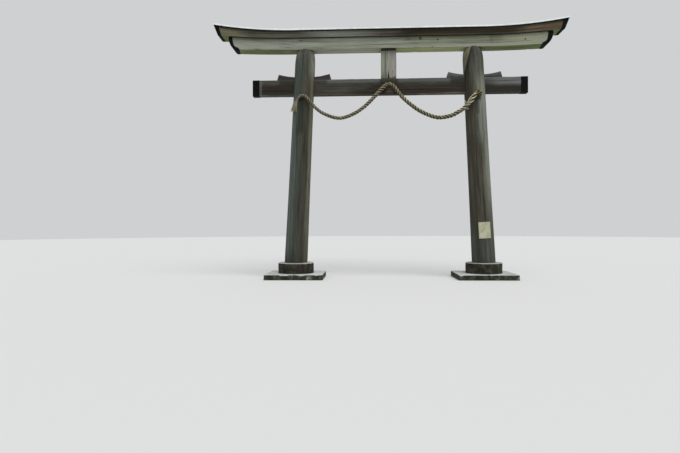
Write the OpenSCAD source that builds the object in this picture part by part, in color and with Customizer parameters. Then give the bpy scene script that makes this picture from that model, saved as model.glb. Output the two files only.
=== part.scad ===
// Weathered timber torii gate: two leaning round pillars on drum stones, a wedged tie beam,
// a strut, two lintels with upswept ends under a sheet-metal roof, and a straw rope in two swags.
// X runs along the lintels, the front looks to -Y and Z is up from the ground.

/* [Foot slabs] */
// Width of each foot slab along the gate
slab_w = 1720; // [1400:10:2000]
// Depth of each foot slab through the gate
slab_d = 1500; // [1200:10:1900]
// Height of the foot slabs
slab_h = 160; // [100:5:260]
// Open joint between the two stones of a slab
slab_joint = 8; // [4:1:20]
// Worn bevel along the upper edges of the slab stones
slab_bevel = 18; // [6:1:40]

/* [Base stones] */
// Diameter of the round base stones
drum_d = 1080; // [960:10:1180]
// Height of the round base stones
drum_h = 310; // [220:5:400]
// Radius of the rounded shoulder of the base stones
drum_round = 45; // [15:1:70]

/* [Pillars] */
// Distance between the pillar axes where they stand on the base stones
pillar_spacing = 5640; // [5000:10:6400]
// Inward lean of each pillar in millimetres for each metre of height
pillar_lean = 50; // [30:1:60]
// Diameter of a pillar at its foot
foot_d = 700; // [640:5:760]
// Diameter of a pillar where the rounded head begins
neck_d = 615; // [580:5:640]
// Diameter of the flat top that carries the lower lintel
head_d = 440; // [360:5:470]
// Height of the rounded head
head_h = 430; // [300:5:460]
// How fast the flare of the foot dies out going up
flare_power = 1.5; // [1.2:0.1:2.5]
// Side of the square tenons at the foot and the head
tenon_side = 150; // [100:5:200]
// Length of those tenons
tenon_l = 90; // [50:5:140]
// Free space round a tenon in its socket
tenon_gap = 5; // [2:1:10]

/* [Tie beam] */
// Length of the tie beam with its end caps
beam_l = 8220; // [7600:10:8800]
// Height of the tie beam
beam_h = 475; // [380:5:540]
// Thickness of the tie beam
beam_t = 200; // [140:5:260]
// Height of its underside above the ground
beam_z = 5510; // [5100:10:5800]
// Free space at each side of the beam in the pillar
beam_gap = 3; // [1:1:8]
// Length of the metal cap on each end of the tie beam
beam_cap_l = 205; // [120:5:280]

/* [Wedges] */
// How far the top of a wedge stands out of the pillar
wedge_out = 465; // [350:5:600]
// How much further it stands out along its lower edge
wedge_slant = 50; // [0:5:80]
// How far a wedge is driven into the pillar
wedge_in = 250; // [150:5:280]
// Height of the wedge at its thin end
wedge_tip_h = 80; // [50:1:90]
// Height of the wedge at its thick end
wedge_butt_h = 175; // [120:5:200]
// How strongly its top curves up towards the thick end, straight at 1
wedge_curve = 1.4; // [1:0.1:2]
// Thickness of the wedges
wedge_t = 184; // [120:2:196]

/* [Centre strut] */
// Width of the strut between the tie beam and the lower lintel
strut_w = 460; // [340:10:560]
// Depth of the strut
strut_d = 190; // [120:5:260]
// Length of its stub tenons
stub_l = 40; // [20:5:70]
// Width of its stub tenons
stub_w = 200; // [120:5:280]
// Thickness of its stub tenons
stub_t = 60; // [40:5:90]

/* [Lower lintel] */
// Height of its underside above the ground
lintel_z = 6850; // [6700:10:7200]
// Height of the lower lintel at the middle
lower_h = 345; // [280:5:420]
// Depth of the lower lintel
lower_d = 450; // [440:5:540]
// Length along its upper edge with the caps
lower_l = 9610; // [9000:10:10000]
// How far each end curves in towards its lower edge
lower_tuck = 160; // [80:5:220]
// Width of its end caps at the upper edge
lower_cap_l = 130; // [80:5:180]
// Width of its end caps at the lower edge
lower_cap_foot = 170; // [100:5:220]

/* [Upper lintel] */
// Height of the upper lintel at the middle
upper_h = 200; // [160:5:280]
// Depth of the upper lintel
upper_d = 560; // [520:5:620]
// How far its upper edge reaches past the lower lintel's at each end, with the caps
upper_over = 440; // [360:5:560]
// How far the raked ends run in towards the lower edge
upper_rake = 120; // [60:5:160]
// Width of its end caps at the upper edge
upper_cap_l = 150; // [100:5:220]
// Width of its end caps at the lower edge
upper_cap_foot = 110; // [80:5:160]

/* [Sweep of the ends] */
// Distance from the middle where the ends begin to rise
sweep_start = 2800; // [2000:50:3600]
// Rise of the lower lintel's underside at its ends
soffit_rise = 45; // [20:1:60]
// Rise of the joint between the two lintels at the lower lintel's ends
joint_rise = 90; // [60:1:120]
// Rise of the roof at its tips
roof_rise = 215; // [150:5:300]

/* [Roof] */
// Depth of the boarding under the roof sheets
board_d = 600; // [570:5:660]
// Thickness of the boarding at the eaves
eave_h = 55; // [40:1:80]
// Height that the boarding gains from the eaves to the ridge
pitch_h = 65; // [40:1:120]
// How far the roof sheets reach past the boarding
drip = 20; // [10:1:40]
// Height of the turned-down edge of the roof sheets
fascia_h = 40; // [20:1:50]
// Thickness of the roof sheets and the metal caps
sheet_t = 4; // [2:1:8]
// Width of the cap over the ridge
ridge_w = 130; // [80:5:200]

/* [Rope] */
// Diameter of the straw rope at the middle of the gate
rope_d = 105; // [80:5:115]
// Diameter of the rope over the left peg
rope_left_d = 85; // [60:5:95]
// Diameter of the rope where its frayed tail begins
rope_tail_d = 60; // [40:5:70]
// Diameter of the loosened rope where it meets its knot
rope_knot_d = 120; // [90:5:125]
// Thickness of the rope in the turn round the right peg
turn_d = 80; // [60:5:90]
// Free space between that turn and its peg
turn_gap = 1; // [0:1:5]
// Length of the frayed tail
tail_l = 220; // [120:10:300]
// Diameter of the frayed tail at its loose end
tail_end_d = 90; // [50:5:100]
// Diameter of the pegs that carry the rope
peg_d = 36; // [24:2:40]
// Free space round a peg in its hole
peg_gap = 0.5; // [0.25:0.25:2]
// How far the pegs are driven in
peg_in = 100; // [60:5:140]
// How far the pegs on the pillars stand out
peg_out = 135; // [110:5:180]
// How far the peg on the tie beam stands out
mid_peg_out = 135; // [110:5:180]
// Height of the peg on the left pillar
left_peg_z = 5385; // [5200:5:5400]
// Height of the peg on the right pillar
right_peg_z = 5440; // [5200:5:5470]
// Distance of the right peg from its pillar's middle, to the right
right_peg_shift = 40; // [0:5:80]
// Height of the peg on the tie beam
mid_peg_z = 5720; // [5600:5:5725]

/* [Notice board] */
// Width of the notice board
notice_w = 345; // [200:5:420]
// Height of the notice board
notice_h = 485; // [300:5:600]
// Thickness of the notice board
notice_t = 14; // [8:1:25]
// Height of its middle above the ground
notice_z = 1435; // [1100:5:1800]
// Depth of the flat dressed on the pillar behind it
notice_seat = 8; // [4:1:15]

/* [Hidden] */
$fn = 72;

stone_colour = [0.62, 0.62, 0.58];
drum_colour = [0.34, 0.35, 0.31];
pillar_colour = [0.33, 0.33, 0.30];
beam_colour = [0.25, 0.24, 0.22];
grey_timber = [0.50, 0.50, 0.45];
brown_timber = [0.37, 0.34, 0.29];
cap_colour = [0.09, 0.09, 0.10];
sheet_colour = [0.80, 0.84, 0.83];
straw_colour = [0.60, 0.55, 0.40];
notice_colour = [0.72, 0.71, 0.62];

foot_z = slab_h + drum_h;
beam_top = beam_z + beam_h;
neck_z = lintel_z - head_h;
upper_z = lintel_z + lower_h;
upper_l = lower_l + 2 * upper_over;
roof_z = upper_z + upper_h;
lean_angle = atan(pillar_lean / 1000);
lean_stretch = 1 / cos(lean_angle);
shaft_steps = 14;
head_steps = 9;
shoulder_steps = 6;
sweep_steps = 12;
end_steps = 6;
wedge_steps = 8;
rope_sides = 10;
overcut = 20;

// Distance of a pillar's axis from the middle of the gate at a height
function axis_x(z) = pillar_spacing / 2 - pillar_lean / 1000 * (z - foot_z);

// Radius of a pillar at a height: a flared foot, a slender shaft and a rounded head
function shaft_r(z) = neck_d / 2
    + (foot_d - neck_d) / 2 * pow(max(0, 1 - (z - foot_z) / (neck_z - foot_z)), flare_power);
function head_r(z) = head_d / 2
    + (neck_d - head_d) / 2 * sqrt(max(0, 1 - pow((z - neck_z) / head_h, 2)));
function pillar_r(z) = z < neck_z ? shaft_r(z) : head_r(z);

// Rise of an upswept line at a distance from the middle, with its full rise at reach
function sweep(x, rise, reach) = rise * pow(max(0, abs(x) - sweep_start) / (reach - sweep_start), 2);
function joint_line(x) = upper_z + sweep(x, joint_rise, lower_l / 2);
function roof_line(x) = roof_z + sweep(x, roof_rise, upper_l / 2);
function soffit_line(x) = lintel_z + sweep(x, soffit_rise, lower_l / 2 - lower_tuck);

// Evenly spaced values from one value to another
function spaced(from, to, steps) = [for (i = [0:steps]) from + (to - from) * i / steps];

// Front view of the lower lintel, grown by a sheet's thickness for the metal caps
function lower_outline(grow) =
    let (reach = lower_l / 2 - sheet_t + grow,
         foot = reach - lower_tuck,
         high = joint_line(reach),
         low = soffit_line(foot) - grow,
         top = [for (x = spaced(sweep_start, reach, sweep_steps)) [x, joint_line(x)]],
         end_side = [for (share = spaced(0, 1, end_steps)) if (share > 0 && share < 1)
             [reach - lower_tuck * pow(share, 2), high + (low - high) * share]],
         under = [for (x = spaced(foot, sweep_start, sweep_steps)) [x, soffit_line(x) - grow]])
    outline_loop(concat(top, end_side, under));

// Front view of the upper lintel, grown in the same way, with a corner where the lower one ends
function upper_outline(grow) =
    let (reach = upper_l / 2 - sheet_t + grow,
         seat = lower_l / 2,
         top = [for (x = spaced(sweep_start, reach, sweep_steps)) [x, roof_line(x)]],
         over = [for (x = spaced(reach - upper_rake, seat, end_steps)) if (x > seat) x],
         under = [for (x = concat(over, spaced(seat, sweep_start, sweep_steps)))
             [x, joint_line(x) - grow]])
    outline_loop(concat(top, under));

// A closed outline from its right-hand half
function outline_loop(half) = concat(half, [for (i = [len(half) - 1:-1:0]) [-half[i][0], half[i][1]]]);

module mirrored(side) {
    if (side > 0) children();
    else mirror([1, 0, 0]) children();
}

// A front view given a depth, centred through the gate
module through(depth) {
    rotate([90, 0, 0]) linear_extrude(height = depth, center = true) children();
}

// A stone block standing on the ground with its upper edges worn to a bevel
module worn_block(w, d, h, bevel) {
    intersection() {
        rotate([90, 0, 0]) linear_extrude(height = d, center = true) worn_face(w, h, bevel);
        rotate([90, 0, 90]) linear_extrude(height = w, center = true) worn_face(d, h, bevel);
    }
}

module worn_face(w, h, bevel) {
    polygon([[-w / 2, 0], [w / 2, 0], [w / 2, h - bevel], [w / 2 - bevel, h],
        [-w / 2 + bevel, h], [-w / 2, h - bevel]]);
}

// A square tenon under or over the end of a pillar that is cut at end_z, or its socket when grown
module tenon(end_z, from_z, grow) {
    translate([axis_x(end_z) - tenon_side / 2 - grow, -tenon_side / 2 - grow, from_z - grow])
        cube([tenon_side + 2 * grow, tenon_side + 2 * grow, tenon_l + 2 * grow]);
}

module foot_tenon(grow) {
    tenon(foot_z, foot_z - tenon_l, grow);
}

module head_tenon(grow) {
    tenon(lintel_z, lintel_z, grow);
}

module slab_stone(side, place) {
    stone_w = (slab_w - slab_joint) / 2;
    color(stone_colour) mirrored(side)
        translate([axis_x(foot_z) + place * (stone_w + slab_joint) / 2, 0, 0])
            worn_block(stone_w, slab_d, slab_h, slab_bevel);
}

module base_stone(side) {
    r = drum_d / 2;
    shoulder = [for (a = spaced(0, 90, shoulder_steps))
        [r - drum_round + drum_round * cos(a), drum_h - drum_round + drum_round * sin(a)]];
    color(drum_colour) mirrored(side) difference() {
        translate([axis_x(foot_z), 0, slab_h])
            rotate_extrude() polygon(concat([[0, 0], [r, 0]], shoulder, [[0, drum_h]]));
        foot_tenon(tenon_gap);
    }
}

// The turned shape of a pillar about its own axis, a little longer than the pillar at both ends
module pillar_log() {
    shaft = [for (z = spaced(foot_z, neck_z, shaft_steps)) [shaft_r(z), (z - foot_z) * lean_stretch]];
    head = [for (a = spaced(0, 90, head_steps)) let (z = neck_z + head_h * sin(a)) if (a > 0)
        [head_r(z), (z - foot_z) * lean_stretch]];
    top = (lintel_z - foot_z) * lean_stretch + overcut;
    rotate_extrude() polygon(concat([[0, -2 * overcut], [foot_d / 2, -2 * overcut]], shaft, head,
        [[head_d / 2, top], [0, top]]));
}

// The curved top of a wedge, as [distance from the pillar's axis, height over the beam]
wedge_from = pillar_r(beam_top) - wedge_in;
wedge_to = pillar_r(beam_top) + wedge_out;
wedge_line = [for (share = spaced(0, 1, wedge_steps)) [wedge_from + (wedge_to - wedge_from) * share,
    wedge_tip_h + (wedge_butt_h - wedge_tip_h) * pow(share, wedge_curve)]];

// The slot through a pillar: square for the beam, with a roof that follows the wedges on top
module beam_slot() {
    roof = concat([for (i = [wedge_steps:-1:0]) [wedge_line[i][0], beam_top + wedge_line[i][1]]],
        [for (p = wedge_line) [-p[0], beam_top + p[1]]]);
    translate([axis_x(beam_top), 0, 0]) through(beam_t + 2 * beam_gap)
        polygon(concat([[-wedge_to, beam_z], [wedge_to, beam_z]], roof));
}

// The middle of the notice board's back, turned to the pillar's lean
module on_notice() {
    translate([axis_x(notice_z), notice_seat - pillar_r(notice_z), notice_z])
        rotate([0, -lean_angle, 0]) children();
}

module pillar(side) {
    color(pillar_colour) mirrored(side) {
        difference() {
            intersection() {
                translate([axis_x(foot_z), 0, foot_z]) rotate([0, -lean_angle, 0]) pillar_log();
                translate([axis_x(foot_z) - 2 * foot_d, -foot_d, foot_z])
                    cube([4 * foot_d, 2 * foot_d, lintel_z - foot_z]);
            }
            beam_slot();
            peg_bar(pillar_peg(side), peg_d + 2 * peg_gap, foot_d);
            if (side > 0) on_notice() translate([-notice_w, -foot_d, -notice_h / 2])
                cube([2 * notice_w, foot_d, notice_h]);
        }
        foot_tenon(0);
        head_tenon(0);
    }
}

module tie_beam() {
    color(beam_colour) difference() {
        translate([-beam_l / 2 + sheet_t, -beam_t / 2, beam_z])
            cube([beam_l - 2 * sheet_t, beam_t, beam_h]);
        stub(beam_top - stub_l, tenon_gap);
        peg_bar(beam_peg(), peg_d + 2 * peg_gap, beam_t);
    }
}

module tie_beam_cap(side) {
    color(cap_colour) mirrored(side) difference() {
        translate([beam_l / 2 - beam_cap_l, -beam_t / 2 - sheet_t, beam_z - sheet_t])
            cube([beam_cap_l, beam_t + 2 * sheet_t, beam_h + 2 * sheet_t]);
        translate([beam_l / 2 - beam_cap_l - overcut, -beam_t / 2, beam_z])
            cube([beam_cap_l + overcut - sheet_t, beam_t, beam_h]);
    }
}

// A wedge on the tie beam, on the outer side of its pillar for place = 1 and the inner for -1
module wedge(side, place) {
    color(beam_colour) mirrored(side) translate([axis_x(beam_top), 0, beam_top]) mirrored(place)
        through(wedge_t) polygon(concat([[wedge_from, 0], [wedge_to + wedge_slant, 0]],
            [for (i = [wedge_steps:-1:0]) wedge_line[i]]));
}

// A stub tenon of the strut from a height up, or its socket when grown
module stub(from_z, grow) {
    translate([-stub_w / 2 - grow, -stub_t / 2 - grow, from_z - grow])
        cube([stub_w + 2 * grow, stub_t + 2 * grow, stub_l + 2 * grow]);
}

module centre_strut() {
    color(grey_timber) {
        translate([-strut_w / 2, -strut_d / 2, beam_top])
            cube([strut_w, strut_d, lintel_z - beam_top]);
        stub(beam_top - stub_l, 0);
        stub(lintel_z, 0);
    }
}

module lower_lintel() {
    color(grey_timber) difference() {
        through(lower_d) polygon(lower_outline(0));
        for (side = [-1, 1]) mirrored(side) head_tenon(tenon_gap);
        stub(lintel_z, tenon_gap);
    }
}

// A metal cap of one sheet's thickness round the end of a lintel, as far in as a slanted line
module end_cap(depth, top_x, foot_x, low, high) {
    reach = upper_l;
    intersection() {
        difference() {
            through(depth + 2 * sheet_t) children(0);
            through(depth) children(1);
        }
        through(2 * depth) polygon([[foot_x, low], [reach, low], [reach, high], [top_x, high]]);
    }
}

module lower_lintel_cap(side) {
    color(cap_colour) mirrored(side) end_cap(lower_d,
        lower_l / 2 - lower_cap_l, lower_l / 2 - lower_tuck - lower_cap_foot,
        lintel_z - overcut, upper_z + 2 * joint_rise) {
        polygon(lower_outline(sheet_t));
        polygon(lower_outline(0));
    }
}

module upper_lintel() {
    color(brown_timber) through(upper_d) polygon(upper_outline(0));
}

module upper_lintel_cap(side) {
    color(cap_colour) mirrored(side) end_cap(upper_d,
        upper_l / 2 - upper_cap_l, upper_l / 2 - upper_rake - upper_cap_foot,
        upper_z, roof_z + 2 * roof_rise) {
        polygon(upper_outline(sheet_t));
        polygon(upper_outline(0));
    }
}

// The upswept part of the roof in steps, and the whole roof from tip to tip
swept_xs = concat(spaced(sweep_start, upper_l / 2 - sheet_t, sweep_steps), [upper_l / 2]);
roof_xs = concat([for (i = [len(swept_xs) - 1:-1:0]) -swept_xs[i]], swept_xs);

// A section through the roof, as [y, height over the roof line], drawn out along the roof line
module along_roof(section, xs = roof_xs) {
    n = len(section);
    polyhedron(
        points = [for (x = xs) for (p = section) [x, p[0], roof_line(x) + p[1]]],
        faces = concat(
            [[for (j = [0:n - 1]) j]],
            [for (i = [0:len(xs) - 2]) for (j = [0:n - 1])
                [i * n + j, (i + 1) * n + j, (i + 1) * n + (j + 1) % n, i * n + (j + 1) % n]],
            [[for (j = [n - 1:-1:0]) (len(xs) - 1) * n + j]]));
}

// Height of the boarding's slope over the roof line at a distance from the ridge
function slope_z(y) = eave_h + pitch_h * (1 - abs(y) / (board_d / 2));

module roof_boarding(xs) {
    half = board_d / 2;
    color(beam_colour) along_roof([[-half, 0], [-half, eave_h], [0, slope_z(0)], [half, eave_h],
        [half, 0]], xs);
}

module roof_sheet(place) {
    out = board_d / 2 + drip;
    low = slope_z(out) - fascia_h;
    color(sheet_colour) mirror([0, place < 0 ? 0 : 1, 0]) along_roof([[0, slope_z(0)],
        [-out, slope_z(out)], [-out, low], [-out - sheet_t, low],
        [-out - sheet_t, slope_z(out) + sheet_t], [0, slope_z(0) + sheet_t]]);
}

module ridge_cap() {
    half = ridge_w / 2;
    color(sheet_colour) along_roof([[-half, slope_z(half) + sheet_t],
        [-half, slope_z(half) + 2 * sheet_t], [0, slope_z(0) + 2 * sheet_t],
        [half, slope_z(half) + 2 * sheet_t], [half, slope_z(half) + sheet_t],
        [0, slope_z(0) + sheet_t]]);
}

// The plate that closes the roof's end, on the line of the sheets' outside
module roof_end(side) {
    out = board_d / 2 + drip + sheet_t;
    low = slope_z(out) - fascia_h;
    color(sheet_colour) mirrored(side) translate([upper_l / 2, 0, roof_line(upper_l / 2)])
        rotate([90, 0, 90]) linear_extrude(height = sheet_t)
            polygon([[-out, low], [out, low], [out, slope_z(out) + sheet_t],
                [0, slope_z(0) + 2 * sheet_t], [-out, slope_z(out) + sheet_t]]);
}

// Where a peg leaves the wood: on a pillar, for the right one as for the left one mirrored
function pillar_face(z, off) = -sqrt(pow(pillar_r(z), 2) - pow(off, 2));
function peg_place(z, off) = [axis_x(z) + off, pillar_face(z, off), z];
function pillar_peg(side) = side > 0 ? peg_place(right_peg_z, right_peg_shift)
    : peg_place(left_peg_z, 0);
function beam_peg() = [0, -beam_t / 2, mid_peg_z];

// A round bar from where it is driven in to a distance before the face
module peg_bar(place, d, out) {
    translate(place + [0, peg_in, 0]) rotate([90, 0, 0]) cylinder(d = d, h = peg_in + out);
}

module rope_peg(side) {
    color(cap_colour) mirrored(side) peg_bar(pillar_peg(side), peg_d, peg_out);
}

module centre_rope_peg() {
    color(cap_colour) peg_bar(beam_peg(), peg_d, mid_peg_out);
}

// The rope's route, from its frayed tail over the left peg and the middle peg to its knot
rope_points = [
    [-2770, -310, 5180], [-2750, -318, 5270], [-2710, -335, 5360], [-2650, -358, 5425],
    [-2575, -372, 5447], [-2500, -372, 5430], [-2430, -368, 5375], [-2340, -360, 5270],
    [-2190, -350, 5095], [-2010, -330, 4950], [-1820, -320, 4860], [-1640, -300, 4800],
    [-1450, -280, 4780], [-1260, -270, 4820], [-1070, -250, 4900], [-880, -240, 5010],
    [-690, -220, 5160], [-500, -200, 5350], [-320, -185, 5540], [-175, -175, 5695],
    [-85, -172, 5773], [0, -170, 5795], [85, -172, 5773], [170, -175, 5690],
    [260, -180, 5570], [370, -190, 5430], [530, -210, 5270], [720, -220, 5110], [900, -240, 4980], [1090, -250, 4880],
    [1280, -270, 4800], [1460, -290, 4760], [1640, -300, 4770], [1820, -310, 4810],
    [1990, -330, 4890], [2180, -345, 5010], [2320, -360, 5160], [2430, -370, 5300],
    [2530, -375, 5430]
];
rope_last = len(rope_points) - 1;

// The rope's diameter at shares of its route, from the tail to the knot
rope_stations = [[0, rope_tail_d], [0.2, rope_left_d], [0.5, rope_d], [0.8, rope_d], [1, rope_knot_d]];

function unit(v) = v / norm(v);
function route_way(points, i) = unit(points[min(i + 1, len(points) - 1)] - points[max(i - 1, 0)]);

// A round tube with a ring of its own diameter at each point of its route
module tube(points, diameters, sides) {
    n = len(points);
    rings = [for (i = [0:n - 1])
        let (way = route_way(points, i), across = unit(cross(way, [0, 1, 0])), up = cross(across, way))
        for (k = [0:sides - 1]) let (a = 360 * k / sides)
            points[i] + diameters[i] / 2 * (cos(a) * across + sin(a) * up)];
    polyhedron(points = rings, faces = concat(
        [[for (k = [sides - 1:-1:0]) k]],
        [for (i = [0:n - 2]) for (k = [0:sides - 1]) let (l = (k + 1) % sides)
            [i * sides + k, i * sides + l, (i + 1) * sides + l, (i + 1) * sides + k]],
        [[for (k = [0:sides - 1]) (n - 1) * sides + k]]));
}

module rope() {
    color(straw_colour) tube(rope_points,
        [for (i = [0:rope_last]) lookup(i / rope_last, rope_stations)], rope_sides);
}

// The end of the rope wound round the right peg
module rope_knot() {
    ring_r = (peg_d + turn_d) / 2 + turn_gap;
    color(straw_colour) translate(pillar_peg(1) - [0, turn_d / 2 + turn_gap, 0])
        rotate([90, 0, 0]) rotate_extrude() translate([ring_r, 0]) circle(d = turn_d);
}

// The frayed end that hangs from the left peg, on in the rope's own direction
module rope_tail() {
    way = unit(rope_points[0] - rope_points[1]);
    color(straw_colour) translate(rope_points[0]) rotate([0, acos(way[2]), atan2(way[1], way[0])])
        cylinder(d1 = rope_tail_d, d2 = tail_end_d, h = tail_l);
}

module notice_board() {
    color(notice_colour) on_notice() translate([-notice_w / 2, -notice_t, -notice_h / 2])
        cube([notice_w, notice_t, notice_h]);
}

slab_stone(-1, 1);  // left_slab_outer
slab_stone(-1, -1);  // left_slab_inner
slab_stone(1, -1);  // right_slab_inner
slab_stone(1, 1);  // right_slab_outer
base_stone(-1);  // left_base_stone
base_stone(1);  // right_base_stone
pillar(-1);  // left_pillar
pillar(1);  // right_pillar
tie_beam();
tie_beam_cap(-1);  // tie_beam_left_cap
tie_beam_cap(1);  // tie_beam_right_cap
wedge(-1, 1);  // left_outer_wedge
wedge(-1, -1);  // left_inner_wedge
wedge(1, -1);  // right_inner_wedge
wedge(1, 1);  // right_outer_wedge
centre_strut();
lower_lintel();
lower_lintel_cap(-1);  // lower_lintel_left_cap
lower_lintel_cap(1);  // lower_lintel_right_cap
upper_lintel();
upper_lintel_cap(-1);  // upper_lintel_left_cap
upper_lintel_cap(1);  // upper_lintel_right_cap
mirrored(-1) roof_boarding(swept_xs);  // roof_boarding_left
roof_boarding([-sweep_start, sweep_start]);  // roof_boarding_middle
roof_boarding(swept_xs);  // roof_boarding_right
roof_sheet(-1);  // roof_sheet_front
roof_sheet(1);  // roof_sheet_back
ridge_cap();
roof_end(-1);  // roof_left_end
roof_end(1);  // roof_right_end
rope_peg(-1);  // left_rope_peg
centre_rope_peg();
rope_peg(1);  // right_rope_peg
rope();
rope_knot();
rope_tail();
notice_board();
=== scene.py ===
import bmesh
import bpy
import math
import random
from mathutils import Matrix, Vector, noise


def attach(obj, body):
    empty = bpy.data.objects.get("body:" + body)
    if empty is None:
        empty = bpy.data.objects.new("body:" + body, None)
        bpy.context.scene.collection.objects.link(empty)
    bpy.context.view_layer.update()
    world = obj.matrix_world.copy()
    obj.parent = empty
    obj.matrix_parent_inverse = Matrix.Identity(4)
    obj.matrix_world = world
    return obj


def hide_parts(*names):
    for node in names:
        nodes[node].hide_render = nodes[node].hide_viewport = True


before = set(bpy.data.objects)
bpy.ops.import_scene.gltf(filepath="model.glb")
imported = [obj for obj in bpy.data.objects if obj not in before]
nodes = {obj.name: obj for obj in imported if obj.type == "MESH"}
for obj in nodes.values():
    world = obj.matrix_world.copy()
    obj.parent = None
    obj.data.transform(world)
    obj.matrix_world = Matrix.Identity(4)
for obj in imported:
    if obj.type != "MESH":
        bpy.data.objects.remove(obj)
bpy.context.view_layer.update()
random.seed(7)


def tone(red, green, blue):  # a colour as it looks on screen, 0 to 255
    def linear(part):
        part = part / 255
        return part / 12.92 if part <= 0.04045 else ((part + 0.055) / 1.055) ** 2.4
    return (linear(red), linear(green), linear(blue), 1)


def clamp(value, low, high):
    return max(low, min(high, value))


def smoothStep(low, high, value):
    share = clamp((value - low) / (high - low), 0, 1)
    return share * share * (3 - 2 * share)


def ripple(point, scale, seed=0.0):  # smooth noise from -1 to 1
    return noise.noise(Vector(point) * scale + Vector((seed * 3.1, seed * 1.7, seed * 2.3)))


def spaced(low, high, cell):
    steps = max(1, round((high - low) / cell))
    return [low + (high - low) * i / steps for i in range(steps + 1)]


def newPiece(name, bm, material, replaced=(), sharp=40):
    bmesh.ops.recalc_face_normals(bm, faces=bm.faces)
    mesh = bpy.data.meshes.new(name)
    bm.to_mesh(mesh)
    bm.free()
    mesh.materials.append(material)
    mesh.shade_smooth()
    mesh.set_sharp_from_angle(angle=math.radians(sharp))
    piece = bpy.data.objects.new(name, mesh)
    bpy.context.scene.collection.objects.link(piece)
    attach(piece, "root")
    if replaced:
        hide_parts(*replaced)
    return piece


def latticeBar(xs, ys, zs):  # a closed box, cut along the given places
    bm = bmesh.new()
    bmesh.ops.create_cube(bm, size=1)
    lines = (xs, ys, zs)
    for axis, places in enumerate(lines):
        along = [edge for edge in bm.edges if abs(edge.verts[0].co[axis] - edge.verts[1].co[axis]) > 0.5]
        if len(places) > 2:
            bmesh.ops.subdivide_edges(bm, edges=along, cuts=len(places) - 2, use_grid_fill=True)
    for v in bm.verts:
        v.co = [places[round((v.co[axis] + 0.5) * (len(places) - 1))] for axis, places in enumerate(lines)]
    addLayers(bm)
    return bm


def roundBar(rings, sides):  # a closed round bar of radius 1, with its rings at 0, 1, 2 and so on
    bm = bmesh.new()
    bmesh.ops.create_circle(bm, cap_ends=True, segments=sides, radius=1)
    bmesh.ops.spin(bm, geom=bm.verts[:] + bm.edges[:] + bm.faces[:], cent=(0, 0, 0), axis=(0, 0, 1),
                   dvec=(0, 0, rings - 1), angle=0, steps=1)
    rises = [edge for edge in bm.edges if abs(edge.verts[0].co.z - edge.verts[1].co.z) > 0.5]
    if rings > 2:
        bmesh.ops.subdivide_edges(bm, edges=rises, cuts=rings - 2, use_grid_fill=True)
    addLayers(bm)
    return bm


def joined(parts):  # several bmeshes as one
    whole = parts[0]
    for part in parts[1:]:
        mesh = bpy.data.meshes.new("part")
        part.to_mesh(mesh)
        part.free()
        whole.from_mesh(mesh)
        bpy.data.meshes.remove(mesh)
    return whole


def addLayers(bm):
    bm.verts.layers.float_vector.new("straight")
    bm.verts.layers.float_vector.new("marks")


cameraView = {"place": (-0.752, -16.0, 1.6035), "yaw": -0.0455, "pitch": -0.0030, "roll": -0.0033,
              "lens": 28.0}


def addCamera(view):
    forward = Vector((math.sin(view["yaw"]) * math.cos(view["pitch"]),
                      math.cos(view["yaw"]) * math.cos(view["pitch"]), math.sin(view["pitch"])))
    level = Vector((math.cos(view["yaw"]), -math.sin(view["yaw"]), 0))
    plumb = level.cross(forward)
    right = math.cos(view["roll"]) * level + math.sin(view["roll"]) * plumb
    upward = -math.sin(view["roll"]) * level + math.cos(view["roll"]) * plumb
    lens = bpy.data.cameras.new("camera")
    lens.lens = view["lens"]
    lens.sensor_width = 36
    lens.clip_end = 200
    camera = bpy.data.objects.new("camera", lens)
    turn = Matrix((right, upward, -forward)).transposed().to_4x4()
    camera.matrix_world = Matrix.Translation(view["place"]) @ turn
    bpy.context.scene.collection.objects.link(camera)
    bpy.context.scene.camera = camera


addCamera(cameraView)
bpy.context.scene.view_settings.view_transform = "Standard"


class Value:  # a socket that can be added, multiplied and so on
    def __init__(self, finish, socket):
        self.finish = finish
        self.socket = socket

    def maths(self, operation, *terms, swap=False):
        vector = self.socket.type == "VECTOR"
        kind = "ShaderNodeVectorMath" if vector else "ShaderNodeMath"
        inputs = [self] + list(terms)
        if swap:
            inputs.reverse()
        if vector:
            inputs = [(term,) * 3 if isinstance(term, (int, float)) else term for term in inputs]
        return self.finish.node(kind, {"operation": operation}, dict(enumerate(inputs)))

    def __add__(self, other):
        return self.maths("ADD", other)

    def __radd__(self, other):
        return self.maths("ADD", other)

    def __sub__(self, other):
        return self.maths("SUBTRACT", other)

    def __rsub__(self, other):
        return self.maths("SUBTRACT", other, swap=True)

    def __mul__(self, other):
        return self.maths("MULTIPLY", other)

    def __rmul__(self, other):
        return self.maths("MULTIPLY", other)

    def __truediv__(self, other):
        return self.maths("DIVIDE", other)

    def __pow__(self, other):
        return self.maths("POWER", other)

    def __abs__(self):
        return self.maths("ABSOLUTE")

    def high(self, other):
        return self.maths("MAXIMUM", other)

    def low(self, other):
        return self.maths("MINIMUM", other)

    def step(self, low, high):  # 0 below low, 1 above high, smooth between
        return self.finish.node("ShaderNodeMapRange", {"interpolation_type": "SMOOTHSTEP"},
                                {"Value": self, "From Min": low, "From Max": high})


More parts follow.
